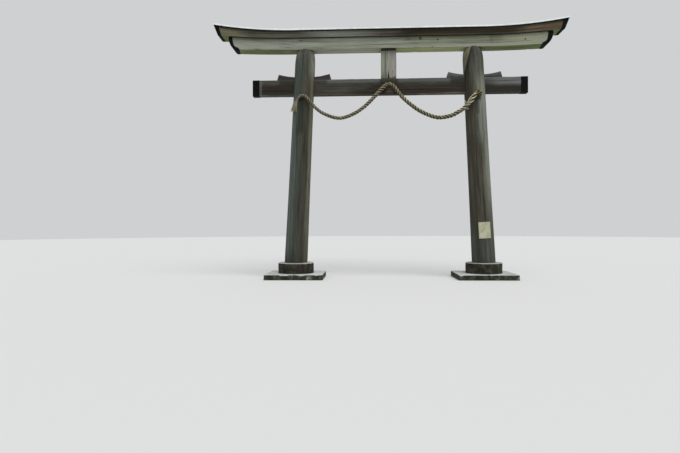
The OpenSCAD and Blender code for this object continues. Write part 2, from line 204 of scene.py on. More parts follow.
class Finish:  # one material and the nodes in it
    def __init__(self, name):
        self.material = bpy.data.materials.new(name)
        self.material.use_nodes = True
        self.tree = self.material.node_tree
        self.tree.nodes.clear()

    def node(self, kind, settings=None, inputs=None, output=0):
        made = self.tree.nodes.new(kind)
        for key, setting in (settings or {}).items():
            if key == "stops":
                for i, (place, colour) in enumerate(setting):
                    ramp = made.color_ramp.elements
                    stop = ramp[i] if i < len(ramp) else ramp.new(place)
                    stop.position = place
                    stop.color = colour
            else:
                setattr(made, key, setting)
        for key, value in (inputs or {}).items():
            if isinstance(value, Value):
                self.tree.links.new(value.socket, made.inputs[key])
            else:
                made.inputs[key].default_value = value
        return Value(self, made.outputs[output]) if made.outputs else made

    def place(self):
        return self.node("ShaderNodeTexCoord", output="Object")

    def attribute(self, name):
        return self.node("ShaderNodeAttribute", {"attribute_name": name}, output="Vector")

    def axis(self, vector, letter):
        return self.node("ShaderNodeSeparateXYZ", None, {0: vector}, letter)

    def noise(self, vector, scale=1.0, detail=3.0, rough=0.55, warp=0.0):
        return self.node("ShaderNodeTexNoise", None, {"Vector": vector, "Scale": scale, "Detail": detail,
                                                      "Roughness": rough, "Distortion": warp})

    def mix(self, factor, first, second, blend="MIX"):
        return self.node("ShaderNodeMix", {"data_type": "RGBA", "blend_type": blend},
                         {0: factor, 6: first, 7: second}, 2)

    def surface(self, colour, roughness, height=None, depth=0.004, metallic=0.0, specular=0.4):
        inputs = {"Base Color": colour, "Roughness": roughness, "Metallic": metallic,
                  "Specular IOR Level": specular}
        if height is not None:
            inputs["Normal"] = self.node("ShaderNodeBump", None, {"Height": height, "Distance": depth,
                                                                  "Strength": 1.0})
        shader = self.node("ShaderNodeBsdfPrincipled", None, inputs)
        self.node("ShaderNodeOutputMaterial", None, {"Surface": shader})
        return self.material


def threeTones(deep, middle, pale):
    return (tone(*deep), tone(*middle), tone(*pale))


timberTones = {
    "greenGrey": threeTones((50, 55, 50), (80, 87, 81), (102, 109, 103)),
    "darkGrey": threeTones((36, 38, 32), (60, 64, 56), (86, 88, 79)),
    "darkBrown": threeTones((36, 34, 26), (60, 57, 47), (84, 81, 68)),
    "paleFlank": threeTones((74, 76, 68), (108, 112, 102), (132, 136, 126)),
    "paleBrown": threeTones((58, 57, 46), (88, 87, 73), (112, 110, 95)),
    # stains, knots and joints, and also painted shade under overhangs, under the rope's arch and under its knot
    "stainAndShade": threeTones((18, 18, 14), (36, 37, 30), (52, 53, 44)),
    "shadow": threeTones((8, 8, 7), (17, 17, 15), (28, 28, 25)),
    "wedgeDark": threeTones((23, 21, 17), (40, 38, 32), (58, 56, 50)),
    "wedgeGrey": threeTones((25, 21, 21), (45, 39, 38), (64, 57, 57)),
    "beamBrown": threeTones((22, 19, 12), (38, 33, 23), (56, 51, 38)),
    "beamRed": threeTones((20, 12, 10), (38, 26, 23), (56, 43, 38)),
    "beamGrey": threeTones((50, 53, 50), (80, 85, 81), (104, 108, 105)),
    "beamPale": threeTones((66, 68, 66), (96, 98, 97), (120, 122, 122)),
    "lintelGrey": threeTones((88, 90, 79), (129, 132, 119), (151, 153, 141)),
    "lintelMoss": threeTones((64, 66, 44), (98, 101, 74), (122, 124, 97)),
    "lintelArris": threeTones((116, 116, 98), (145, 145, 125), (162, 161, 143)),
    "lintelOlive": threeTones((62, 64, 48), (94, 97, 78), (118, 120, 102)),
    "soffitOlive": threeTones((68, 75, 38), (100, 108, 61), (122, 129, 82)),
    "soffitMoss": threeTones((48, 60, 26), (78, 94, 46), (100, 114, 66)),
    "soffitWarm": threeTones((92, 96, 62), (138, 143, 99), (158, 161, 118)),
    "soffitPale": threeTones((106, 106, 92), (150, 150, 132), (167, 166, 150)),
    "upperDark": threeTones((20, 15, 5), (36, 29, 12), (53, 45, 25)),
    "upperRust": threeTones((44, 33, 21), (79, 61, 42), (102, 83, 60)),
    "upperBrown": threeTones((44, 42, 34), (71, 68, 56), (94, 90, 76)),
    "upperGrey": threeTones((70, 70, 64), (104, 105, 98), (126, 127, 120)),
    "upperTan": threeTones((62, 58, 42), (98, 93, 73), (120, 116, 95)),
    "strutGrey": threeTones((86, 89, 76), (128, 131, 117), (149, 152, 139)),
    "strutPink": threeTones((94, 91, 84), (136, 132, 124), (155, 151, 144)),
    "headTan": threeTones((86, 82, 62), (115, 111, 89), (135, 130, 107)),
}


def between(value, low, high, fade):  # 1 between two places along a value, fading out at both
    return value.step(low - fade, low + fade) * (1 - value.step(high - fade, high + fade))


def spot(f, place, x, z, size):  # 1 on a small round patch of the front or back
    away = f.node("ShaderNodeVectorMath", {"operation": "DISTANCE"}, {0: place * (1, 0, 1), 1: (x, 0, z)}, "Value")
    return 1 - away.step(size * 0.5, size)


def leftPillarZones(f, place, up, marks):
    across = f.axis(place, "X") + up * -0.05 + 2.8435
    wavy = across + (f.noise(place * (1, 1, 0.3), 3, 2) - 0.5) * 0.12
    outer = 1 - f.axis(place, "Y").step(0.0, 0.2)
    raised = up.step(0.6, 2.0) * 0.6 + 0.4
    # greener left side and paler right edge: partly weathering, partly painted light, greenish from the left and
    # paler from the right
    return [((1 - wavy.step(-0.17, -0.05)) * (1 - between(up, 5.42, 6.0, 0.1) * 0.5), "greenGrey"),
            (wavy.step(0.03, 0.12), "darkBrown"), ((1 - up.step(0.5, 1.0)) * 0.35, "stainAndShade"),
            (wavy.step(0.17, 0.29) * raised, "paleBrown"),
            (wavy.step(0.10, 0.28) * up.step(5.9, 6.3) * 0.75, "paleFlank"),
            (up.step(6.5, 6.75) * (1 - wavy.step(-0.2, -0.1)) * 0.7, "paleBrown"),
            ((1 - wavy.step(-0.24, -0.12)) * between(up, 6.0, 6.6, 0.08) * 0.45, "stainAndShade"),
            (between(wavy, -0.08, 0.07, 0.05) * between(up, 4.35, 5.36, 0.12) * outer * 0.85, "stainAndShade"),
            # painted shadow of the rope's arch and peg on the pillar's front
            (between(across, -0.15, 0.05, 0.03) * between(up, 5.30, 5.41, 0.03) * outer * 0.9, "stainAndShade")]


def rightPillarZones(f, place, up, marks):
    across = f.axis(place, "X") + up * 0.05 - 2.8435
    wavy = across + (f.noise(place * (1, 1, 0.3) + 5.0, 3, 2) - 0.5) * 0.12
    raised = up.step(1.2, 3.2)
    above = up.step(5.85, 5.97)
    faded = up.step(5.65, 6.25)
    rim = f.axis(f.node("ShaderNodeNewGeometry", output="Normal"), "X").step(0.76, 0.92)
    over = up - 5.853
    margin = across - (over * 0.12 + over * over * 0.12 - 0.334)
    return [(1 - up.step(1.0, 2.0), "darkGrey"),
            # paler right half and right flank: partly weathering, partly painted light from the right
            (wavy.step(-0.02, 0.12) * (raised * 0.75) * (1 - faded * 0.6), "paleBrown"),
            (wavy.step(-0.09, 0.10) * between(up, 4.1, 5.75, 0.3) * 0.7, "paleFlank"),
            # painted shadow of the rope's knot on the pillar's front
            (between(across, -0.04, 0.11, 0.04) * between(up, 5.26, 5.38, 0.03) * 0.75, "stainAndShade"),
            (across.step(-0.2, 0.06) * up.step(5.36, 5.48) * (1 - faded) * 0.8, "paleBrown"),
            (between(across, 0.05, 0.17, 0.05) * up.step(5.36, 5.48) * (1 - faded) * 0.6, "paleFlank"),
            (wavy.step(0.08, 0.21) * (raised * 0.85 + 0.12) * (1 - faded * 0.85), "paleFlank"),
            (between(across, -0.08, 0.05, 0.04) * between(up, 4.85, 5.28, 0.08) * 0.55, "stainAndShade"),
            (margin.step(0.07, 0.14) * (1 - across.step(0.13, 0.2)) * faded * 0.35, "greenGrey"),
            # darker towards the head's top: painted shade under the lower lintel
            (margin.step(0.07, 0.14) * up.step(6.25, 6.75) * 0.4, "stainAndShade"),
            # paler right-facing side of the head, picked by the normal: painted light
            (rim * above * 0.8, "headTan"),
            ((1 - margin.step(0.03, 0.10)) * above * 0.85, "stainAndShade"),
            ((1 - margin.step(-0.02, 0.02)) * above, "headTan")]


def beamZones(f, place, up, marks):
    along = f.axis(place, "X")
    high = f.axis(marks, "Z") + (f.noise(place * (0.3, 1, 1), 6, 2) - 0.5) * 0.3
    right = along.step(2.6, 3.5)
    left = 1 - along.step(-3.2, -2.6)
    # places below the wedges and the strut, where the grey top band fades
    underWedgesAndStrut = (between(along, -3.3, -1.85, 0.07) + between(along, -0.27, 0.28, 0.05)
                 + between(along, 1.82, 2.6, 0.07))
    middle = between(along, -1.3, 1.3, 0.25)
    top = high.step(0.55, 0.9) * (1 - left * 0.55) * (1 - middle * 0.25)
    return [(between(along, -2.4, -1.1, 0.25) * 0.4, "darkBrown"),
            (between(along, -2.2, -0.6, 0.2) * between(high, 0.3, 0.7, 0.15) * 0.2, "beamGrey"),
            (top * (1 - underWedgesAndStrut.low(1.0) * 0.85), "beamGrey"), (high.step(0.35, 0.75) * right, "beamPale"),
            ((1 - high.step(0.2, 0.5)) * right * 0.8, "wedgeDark"),
            (between(along, 1.75, 2.6, 0.1) * (1 - high.step(0.2, 0.5)) * 0.6, "stainAndShade"),
            (between(along, 0.4, 2.6, 0.2) * between(high, 0.08, 0.4, 0.06) * 0.75, "beamRed"),
            (between(along, -0.07, 0.15, 0.04) * between(high, 0.04, 0.42, 0.05) * 0.85, "upperBrown"),
            (between(along, 0.9, 2.5, 0.1) * (1 - high.step(0.02, 0.06)) * 0.4, "headTan"),
            (between(along, -3.91, -3.83, 0.012) * 0.7, "beamGrey"),
            ((1 - high.step(0.02, 0.09)) * left * 0.6, "beamGrey")]


def wedgeZones(f, place, up, marks):
    along = f.axis(place, "X")
    high = f.axis(marks, "Z") + (f.noise(place * (1, 1, 2), 9, 2) - 0.5) * 0.9
    return [(along.step(0.5, 1.0) * high.step(0.1, 0.5) * 0.75, "beamGrey"),
            (f.axis(marks, "Z").step(0.9, 0.98) * (along.step(0.5, 1.0) * 0.4 + 0.25), "beamPale")]


def lowerZones(f, place, up, marks):
    along = f.axis(place, "X")
    high = f.axis(marks, "Z")
    rough = f.noise(place * (0.25, 1, 1), 5, 3)
    below = f.axis(f.node("ShaderNodeNewGeometry", output="Normal"), "Z").step(-0.85, -0.5)
    under = 1 - below
    left = between(along, -2.7, 0.1, 0.3)
    right = along.step(0.1, 1.0) * (1 - along.step(3.4, 4.6) * 0.5)
    strutTop = between(along, -0.225, 0.215, 0.006) * (1 - f.axis(place, "Y").step(-0.105, -0.09))
    knots = spot(f, place, 0.929, 7.126, 0.054).high(spot(f, place, 1.443, 7.085, 0.040))
    knots = knots.high(spot(f, place, 3.995, 7.048, 0.036)).high(spot(f, place, -0.232, 7.177, 0.026))
    knots = knots.high(spot(f, place, 0.769, 6.867, 0.022)).high(spot(f, place, 1.284, 6.864, 0.024))
    # the upper half turns darker olive: partly painted shade under the upper lintel's overhang, partly weathering
    return [((high + (rough - 0.5) * 0.5).step(0.5, 1.0) * (0.85 - left * 0.35), "lintelOlive"),
            (right * (high.step(0.25, 0.6) * 0.35 + 0.22), "lintelMoss"),
            ((1 - high.step(0.05, 0.12)) * below * 0.85, "lintelArris"),
            # painted shadow along the top edge, under the upper lintel's overhang
            (high.step(0.955, 0.985) * 0.9, "stainAndShade"),
            (along.step(2.9, 4.1) * (1 - high.step(0.75, 1.0) * 0.6) * 0.6, "lintelArris"),
            (between(along, 2.93, 3.35, 0.12) * high.step(0.2, 0.8) * 0.3, "upperDark"),
            (between(along, 2.98, 3.05, 0.03) * high.step(0.1, 0.4) * 0.2, "upperRust"),
            (knots * 0.9, "stainAndShade"),
            # the olive underside is partly painted shade
            (under, "soffitOlive"),
            (under * f.noise(place * (0.5, 1, 1), 5, 3).step(0.42, 0.58) * 0.4, "paleBrown"),
            (under * along.step(3.0, 3.6) * 0.85, "soffitMoss"),
            (under * between(along, -2.3, -0.2, 0.3), "soffitPale"),
            (under * between(along, -0.1, 2.4, 0.3), "soffitWarm"), (under * strutTop, "shadow")]


def upperZones(f, place, up, marks):
    along = f.axis(place, "X") + (f.noise(place * (0.6, 1, 1), 2.2, 3) - 0.5) * 0.9
    high = f.axis(marks, "Z")
    under = 1 - f.axis(f.node("ShaderNodeNewGeometry", output="Normal"), "Z").step(-0.85, -0.5)
    left = between(along, -3.7, 0.0, 0.3)
    seams = between(f.axis(place, "X"), -4.183, -4.173, 0.004) + between(f.axis(place, "X"), 4.509, 4.519, 0.004)
    return [(between(along, -2.3, -0.5, 0.6) * 0.9, "upperGrey"), (abs(along).step(4.0, 4.5), "upperTan"),
            (along.step(3.7, 4.4) * 0.8, "upperRust"),
            # the second mark darkens towards the top: painted shade under the roof's overhang
            (between(along, 0.35, 4.0, 0.3), "upperDark"), (high.step(0.62, 0.98) * (0.8 - left * 0.4), "upperDark"),
            # the underside mark is painted shade
            (high.step(0.90, 0.96) * 0.8, "shadow"), (seams * 0.8, "stainAndShade"), (under, "stainAndShade"),
            (under * abs(along).step(4.65, 4.8), "soffitOlive")]


def strutZones(f, place, up, marks):
    across = f.axis(place, "X")
    wavy = across + (f.noise(place * (1, 1, 0.4), 6, 2) - 0.5) * 0.12
    foot = abs(across + 0.006) + (up - 5.985) * 0.14
    worn = up - abs(wavy + 0.01) * 0.35
    return [(wavy.step(-0.06, 0.08) * 0.85, "strutPink"), ((1 - worn.step(5.95, 6.02)) * 0.8, "darkBrown"),
            (between(across, -0.20, -0.05, 0.03) * (1 - up.step(6.03, 6.30)) * 0.8, "upperTan"),
            (1 - foot.step(0.027, 0.040), "stainAndShade"), (up.step(6.808, 6.822), "shadow")]


timberLooks = {
    "left_pillar": {"main": "darkGrey", "across": 9, "zones": leftPillarZones},
    "right_pillar": {"main": "darkBrown", "across": 9, "zones": rightPillarZones},
    "beam": {"main": "beamBrown", "across": 11, "zones": beamZones},
    "wedge": {"main": "wedgeGrey", "across": 11, "zones": wedgeZones},
    "grey": {"main": "lintelGrey", "across": 10, "zones": lowerZones},
    "strut": {"main": "strutGrey", "across": 12, "zones": strutZones},
    "board": {"main": "shadow", "across": 11, "zones": None},
    "brown": {"main": "upperBrown", "across": 11, "zones": upperZones},
}


def timberFinish(name, look):
    f = Finish(name)
    grain = f.attribute("straight")
    marks = f.attribute("marks")
    place = f.place()
    patches = f.noise(grain * (1.1, 1.1, 0.35), 1.6, 3)
    streaks = f.noise(grain * (1, 1, 0.045), look["across"], 4, 0.6)
    thin = f.noise(grain * (1, 1, 0.03), look["across"] * 6, 3, 0.6)
    fibres = f.noise(grain * (1, 1, 0.02), 260, 2, 0.5)
    shade = streaks * 0.5 + thin * 0.32 + patches * 0.25

    def ramp(tones):
        stops = list(zip((0.36, 0.53, 0.70), tones))
        return f.node("ShaderNodeValToRGB", {"stops": stops}, {0: shade})

    colour = ramp(timberTones[look["main"]])
    if look["zones"]:
        for mask, tones in look["zones"](f, place, f.axis(place, "Z"), marks):
            colour = f.mix(mask, colour, ramp(timberTones[tones]))
    # the checks are painted near-black: painted shade inside the cracks
    cracks = abs(f.noise(grain * (1, 1, 0.022) + 3.0, look["across"] * 1.7, 2, 0.4) - 0.5)
    present = f.noise(grain * (1, 1, 0.3) + 11.0, 2.2, 1).step(0.5, 0.6)
    crackLine = (1 - cracks.step(0.003, 0.014)) * present
    colour = f.mix((crackLine * 0.7).high(f.axis(marks, "X")), colour, tone(20, 18, 15))
    colour = f.mix(f.axis(marks, "Y") * 0.3, colour, ramp(timberTones["paleFlank"]))
    height = fibres * 0.25 + thin * 0.35 + streaks * 0.3 - crackLine * 0.9
    return f.surface(colour, 0.72 + fibres * 0.2, height, 0.006, specular=0.25)


def strawFinish():
    f = Finish("straw")
    lay = f.attribute("straight")
    place = f.place()
    stems = f.noise(lay * (1, 1, 0.06), 210, 2, 0.55)
    bundles = f.noise(lay * (1, 1, 0.12), 60, 2, 0.5)
    weather = f.noise(place, 2.4, 3)
    shade = stems * 0.55 + bundles * 0.3 + weather * 0.2
    old = f.node("ShaderNodeValToRGB", {"stops": [(0.33, tone(62, 56, 34)), (0.5, tone(126, 119, 88)),
                                                  (0.64, tone(192, 188, 164))]}, {0: shade})
    fresh = f.node("ShaderNodeValToRGB", {"stops": [(0.33, tone(106, 97, 66)), (0.5, tone(184, 175, 141)),
                                                    (0.64, tone(242, 237, 214))]}, {0: shade})
    bound = f.node("ShaderNodeValToRGB", {"stops": [(0.33, tone(40, 32, 8)), (0.5, tone(100, 90, 46)),
                                                    (0.64, tone(158, 146, 98))]}, {0: shade})
    along = f.axis(place, "X")
    colour = f.mix((along.step(1.8, 2.4) * 0.8).high((1 - along.step(-2.75, -2.5)) * 0.35), old, fresh)
    colour = f.mix(along.step(2.50, 2.57), colour, bound)
    # painted shade in the grooves between strands and on the rope's underside
    below = 1 - f.axis(f.node("ShaderNodeNewGeometry", output="Normal"), "Z").step(-0.75, 0.45)
    dark = (f.axis(f.attribute("marks"), "X") * 0.92).high(below * 0.78)
    colour = f.mix(dark, colour, tone(36, 30, 14))
    return f.surface(colour, 0.8, stems * 0.7 + bundles * 0.5, 0.004, specular=0.25)


def stoneFinish(name, colours, mossColours, cover):
    f = Finish(name)
    place = f.place()
    broad = f.noise(place, 2.2, 4, 0.55)
    grit = f.noise(place, 60, 3, 0.6)
    specks = f.noise(place, 230, 2, 0.6)
    shade = broad * 0.45 + grit * 0.35 + specks * 0.25
    colour = f.node("ShaderNodeValToRGB", {"stops": [(0.36, colours[0]), (0.52, colours[1]),
                                                     (0.68, colours[2])]}, {0: shade})
    marks = f.attribute("marks")
    sideways = f.axis(marks, "Z")
    damp = f.noise(place + 4.0, 6, 4, 0.6)
    growth = f.node("ShaderNodeValToRGB", {"stops": [(0.36, mossColours[0]), (0.5, mossColours[1]),
                                                     (0.66, mossColours[2])]}, {0: damp * 0.6 + grit * 0.4})
    covered = (f.noise(place + 9.0, 4, 3, 0.55) * 0.9 + cover).low(1.0).step(0.45, 0.75)
    colour = f.mix(sideways.step(0.25, 0.75) * covered, colour, growth)
    return f.surface(colour, 0.86, broad * 0.4 + grit * 0.5 + specks * 0.2, 0.006, specular=0.25)


def capFinish():
    f = Finish("dark_sheet")
    place = f.place()
    broad = f.noise(place, 5, 3)
    runs = f.noise(place * (1, 1, 0.25), 22, 3, 0.6)
    colour = f.node("ShaderNodeValToRGB", {"stops": [(0.4, tone(6, 7, 6)), (0.6, tone(19, 20, 17))]},
                    {0: broad * 0.5 + runs * 0.5})
    return f.surface(colour, 0.75 + runs * 0.2, broad * 0.8 + runs * 0.2, 0.006, 0.0, 0.08)


def sheetFinish():
    f = Finish("roof_sheet")
    place = f.place()
    runs = f.noise(place * (1, 0.3, 0.5), 9, 4, 0.6)
    broad = f.noise(place, 1.4, 3)
    # pale tones: the sheet's own pale paint, with a painted reflection of the sky
    colour = f.node("ShaderNodeValToRGB", {"stops": [(0.35, tone(188, 198, 195)), (0.55, tone(216, 223, 221)),
                                                     (0.7, tone(232, 236, 235))]},
                    {0: runs * 0.6 + broad * 0.4})
    return f.surface(colour, 0.42 + runs * 0.25, broad * 0.4 + runs * 0.2, 0.004, 0.0, 0.5)


def ironFinish():
    f = Finish("peg_iron")
    place = f.place()
    rust = f.noise(place, 45, 4, 0.65)
    colour = f.node("ShaderNodeValToRGB", {"stops": [(0.4, tone(30, 27, 24)), (0.62, tone(74, 50, 34))]},
                    {0: rust})
    return f.surface(colour, 0.75, rust, 0.002, 0.2, 0.4)


def noticeFinish():
    f = Finish("notice_paint")
    place = f.place()
    broad = f.noise(place, 6, 3)
    grain = f.noise(place * (1, 1, 0.12), 90, 3, 0.6)
    colour = f.node("ShaderNodeValToRGB", {"stops": [(0.35, tone(144, 143, 118)), (0.55, tone(176, 175, 149)),
                                                     (0.7, tone(194, 193, 168))]},
                    {0: broad * 0.6 + grain * 0.4})
    across = f.axis(place, "X") + f.axis(place, "Z") * 0.05 - 2.8435
    colour = f.mix((1 - abs(across + 0.037).step(0.003, 0.008)) * 0.5, colour, tone(104, 104, 98))
    colour = f.mix(f.axis(f.attribute("marks"), "Y") * 0.5, colour, tone(120, 116, 96))
    return f.surface(colour, 0.6, grain, 0.001, specular=0.3)


finishes = {
    "straw": strawFinish(),
    "slab": stoneFinish("slab_stone", [tone(122, 119, 115), tone(182, 180, 179), tone(214, 213, 213)],
                        [tone(16, 19, 12), tone(37, 42, 29), tone(82, 87, 66)], 0.34),
    "drum": stoneFinish("drum_stone", [tone(104, 102, 98), tone(152, 150, 146), tone(176, 174, 171)],
                        [tone(17, 16, 12), tone(35, 34, 26), tone(74, 74, 58)], 0.40),
    "cap": capFinish(),
    "sheet": sheetFinish(),
    "iron": ironFinish(),
    "notice": noticeFinish(),
}
for name, look in timberLooks.items():
    finishes[name] = timberFinish(name + "_timber", look)
print("materials made")


ropeRoute = [
    (-2770, -310, 5180), (-2750, -318, 5270), (-2710, -335, 5360), (-2650, -358, 5425),
    (-2575, -372, 5447), (-2500, -372, 5430), (-2430, -368, 5375), (-2340, -360, 5270),
    (-2190, -350, 5095), (-2010, -330, 4950), (-1820, -320, 4860), (-1640, -300, 4800),
    (-1450, -280, 4780), (-1260, -270, 4820), (-1070, -250, 4900), (-880, -240, 5010),
    (-690, -220, 5160), (-500, -200, 5350), (-320, -185, 5540), (-175, -175, 5695),
    (-85, -172, 5773), (0, -170, 5795), (85, -172, 5773), (170, -175, 5690),
    (260, -180, 5570), (370, -190, 5430), (530, -210, 5270), (720, -220, 5110),
    (900, -240, 4980), (1090, -250, 4880), (1280, -270, 4800), (1460, -290, 4760),
    (1640, -300, 4770), (1820, -310, 4810), (1990, -330, 4890), (2180, -345, 5010),
    (2320, -360, 5160), (2430, -370, 5300), (2530, -375, 5430),
]
rope = {
    "route": [Vector(point) / 1000 for point in ropeRoute],
    "stations": [(0, 0.060), (0.2, 0.092), (0.5, 0.108), (0.8, 0.108), (1, 0.118)],
    "strands": 3, "lay": 2.7, "strandRadius": 0.248, "strandOut": 0.305, "sides": 16, "ring": 0.013,
    "loosenedFrom": 0.90, "loosenedOut": 0.014, "loosenedLay": 1.3, "thinned": 0.17, "reach": 0.0715,
}


def smoothRoute(points, gap):  # a curve through the points, at even distances, with the point index
    spans = [(b - a).length for a, b in zip(points, points[1:])]
    ways = [(points[1] - points[0]) / spans[0]]
    for i in range(1, len(points) - 1):
        before = (points[i] - points[i - 1]) / spans[i - 1]
        after = (points[i + 1] - points[i]) / spans[i]
        ways.append((before * spans[i] + after * spans[i - 1]) / (spans[i - 1] + spans[i]))
    ways.append((points[-1] - points[-2]) / spans[-1])
    fine = []
    for i, span in enumerate(spans):
        for k in range(24):
            t = k / 24
            fine.append((points[i] * (2 * t ** 3 - 3 * t ** 2 + 1) + ways[i] * span * (t ** 3 - 2 * t ** 2 + t)
                         + points[i + 1] * (3 * t ** 2 - 2 * t ** 3) + ways[i + 1] * span * (t ** 3 - t ** 2),
                         i + t))
    fine.append((points[-1], len(points) - 1.0))
    whole = sum((b[0] - a[0]).length for a, b in zip(fine, fine[1:]))
    count = max(2, round(whole / gap))
    even, gone, k = [fine[0]], 0.0, 0
    for i in range(1, count):
        wanted = whole * i / count
        while gone + (fine[k + 1][0] - fine[k][0]).length < wanted:
            gone += (fine[k + 1][0] - fine[k][0]).length
            k += 1
        share = (wanted - gone) / (fine[k + 1][0] - fine[k][0]).length
        even.append((fine[k][0].lerp(fine[k + 1][0], share), fine[k][1] + share * (fine[k + 1][1] - fine[k][1])))
    even.append(fine[-1])
    return even, whole


def lookup(share, stations):
    for (a, low), (b, high) in zip(stations, stations[1:]):
        if share <= b:
            return low + (high - low) * clamp((share - a) / (b - a), 0, 1)
    return stations[-1][1]


def sweptTube(centres, radii, sides, seed, rough=0.1, twist=-9.0, side=Vector((0, 1, 0)), inward=None, dark=0.0):
    # a round bar bent along its centres, with painted shade marked on the side that looks inward
    bm = roundBar(len(centres), sides)
    straight = bm.verts.layers.float_vector["straight"]
    marks = bm.verts.layers.float_vector["marks"]
    last = len(centres) - 1
    along = [0.0]
    for a, b in zip(centres, centres[1:]):
        along.append(along[-1] + (b - a).length)
    frames = []
    for i in range(last + 1):
        way = (centres[min(i + 1, last)] - centres[max(i - 1, 0)]).normalized()
        across = way.cross(side).normalized()
        frames.append((across, way.cross(across)))
    for v in bm.verts:
        i = round(v.co.z)
        angle = math.atan2(v.co.y, v.co.x)
        turned = angle + along[i] * twist
        laid = Vector((math.cos(turned), math.sin(turned), 0)) * radii[i]
        laid.z = along[i]
        v[straight] = laid + Vector((seed * 0.7, seed * 0.3, seed * 1.9))
        swell = 1 + rough * noise.noise(Vector((laid.x * 70, laid.y * 70, laid.z * 9 + seed * 5)))
        across, upward = frames[i]
        out = math.cos(angle) * across + math.sin(angle) * upward
        v.co = centres[i] + radii[i] * swell * out
        v[marks] = Vector((smoothStep(-0.98, -0.35, out.dot(inward[i])) if inward else dark, 0, 0))
    return bm


def strandedRope(centres, widths, look, seed=0.0, side=Vector((0, 1, 0)), loosened=None):
    last = len(centres) - 1
    loosened = loosened or [0.0] * (last + 1)
    turn, turns, strands = seed, [], []
    for i in range(last + 1):
        turns.append(turn)
        if i < last:
            lay = (look["lay"] + look["loosenedLay"] * loosened[i]) * widths[i]
            turn += 2 * math.pi * (centres[i + 1] - centres[i]).length / lay
    for strand in range(look["strands"]):
        line, radii, inward = [], [], []
        for i in range(last + 1):
            way = (centres[min(i + 1, last)] - centres[max(i - 1, 0)]).normalized()
            across = way.cross(side).normalized()
            upward = way.cross(across)
            angle = turns[i] + 2 * math.pi * strand / look["strands"]
            radius = look["strandRadius"] * widths[i] * (1 + 0.08 * ripple((i * 0.11, strand * 3, 5), 1.0))
            radius *= 1 - look["thinned"] * loosened[i]
            out = look["strandOut"] * widths[i] * (1 + 0.10 * ripple((i * 0.05, strand, seed), 1.0))
            out = min(out + look["loosenedOut"] * loosened[i], look["reach"] - radius * 1.08)
            outward = math.cos(angle) * across + math.sin(angle) * upward
            line.append(centres[i] + out * outward)
            inward.append(-outward)
            radii.append(radius)
        strands.append(sweptTube(line, radii, look["sides"], seed + strand * 2.1, side=side, inward=inward))
    return joined(strands)


def makeRope():
    stations, length = smoothRoute(rope["route"], rope["ring"])
    centres = [point for point, _ in stations]
    shares = [index / (len(rope["route"]) - 1) for _, index in stations]
    widths = [lookup(share, rope["stations"]) for share in shares]
    loosened = [smoothStep(rope["loosenedFrom"], 1, share) for share in shares]
    bm = strandedRope(centres, widths, rope, loosened=loosened)
    piece = newPiece("straw_rope", bm, finishes["straw"], ["rope"], sharp=60)
    print("rope length", round(length, 3))
    return piece, centres, widths, length


winding = {"centre": (2.6115, 5.440), "ring": 0.061, "start": 187, "turns": 1.3, "back": -0.350, "front": -0.408,
           "width": 0.080, "endWidth": 0.062, "crossingRadius": 0.019,
           "crossing": [(2.553, -0.400, 5.372), (2.575, -0.440, 5.402), (2.607, -0.466, 5.438),
                        (2.645, -0.455, 5.470), (2.672, -0.420, 5.500)]}
looseStrands = [
    [(2.540, -0.392, 5.462), (2.450, -0.420, 5.400), (2.380, -0.430, 5.330), (2.328, -0.425, 5.276),
     (2.290, -0.405, 5.205)],
    [(2.530, -0.425, 5.360), (2.470, -0.445, 5.292), (2.400, -0.440, 5.256), (2.336, -0.430, 5.236),
     (2.275, -0.418, 5.176), (2.223, -0.400, 5.117)],
    [(2.470, -0.400, 5.230), (2.400, -0.420, 5.170), (2.300, -0.412, 5.128), (2.218, -0.395, 5.090)],
    [(2.330, -0.420, 5.190), (2.262, -0.428, 5.140), (2.226, -0.415, 5.150), (2.213, -0.404, 5.205),
     (2.209, -0.396, 5.222), (2.200, -0.388, 5.185), (2.205, -0.382, 5.110)],
    [(2.160, -0.380, 5.004), (2.205, -0.400, 4.978), (2.262, -0.405, 4.972), (2.318, -0.392, 4.988)],
]
looseRadii = [0.016, 0.017, 0.015, 0.010, 0.008]
tail = {"from": (-2.768, -0.314, 5.300), "to": (-2.812, -0.293, 4.970), "width": 0.062, "endWidth": 0.074,
        "core": (0.33, 0.80), "straws": 280, "start": (0.0, 0.45), "end": (0.76, 1.04), "gather": 0.040,
        "spread": 0.060, "bunchShare": 0.40, "bunchOut": 0.050, "strawRadius": 0.0024}
wisps = {"count": 420, "length": (0.025, 0.085), "radius": 0.0014, "lean": (0.12, 0.75)}


def straws(paths, radius, seed):  # many thin stems as one bmesh
    stems = []
    for i, path in enumerate(paths):
        radii = [radius * (1 - 0.5 * k / (len(path) - 1)) for k in range(len(path))]
        stems.append(sweptTube(path, radii, 5, seed + i * 0.37, rough=0.0, side=Vector((0.2, 1, 0.1)),
                               dark=random.uniform(0, 0.45)))
    return joined(stems)


def makeWinding():
    count = 90
    line = []
    for i in range(count + 1):
        share = i / count
        angle = math.radians(winding["start"] - 360 * winding["turns"] * share)
        radius = winding["ring"] * (1 + 0.10 * smoothStep(0.75, 1, share))
        y = winding["back"] + (winding["front"] - winding["back"]) * share ** 1.5
        line.append(Vector((winding["centre"][0] + radius * math.cos(angle), y,
                            winding["centre"][1] + radius * math.sin(angle))))
    widths = [lookup(i / count, [(0, winding["width"]), (0.8, winding["width"]), (1, winding["endWidth"])])
              for i in range(count + 1)]
    bm = strandedRope(line, widths, rope, seed=3.0)
    stations, _ = smoothRoute([Vector(point) for point in winding["crossing"]], 0.01)
    over = [point for point, _ in stations]
    crossing = sweptTube(over, [winding["crossingRadius"]] * len(over), 12, 6.0, rough=0.2)
    return newPiece("rope_knot_winding", joined([bm, crossing]), finishes["straw"], ["rope_knot"], sharp=60)


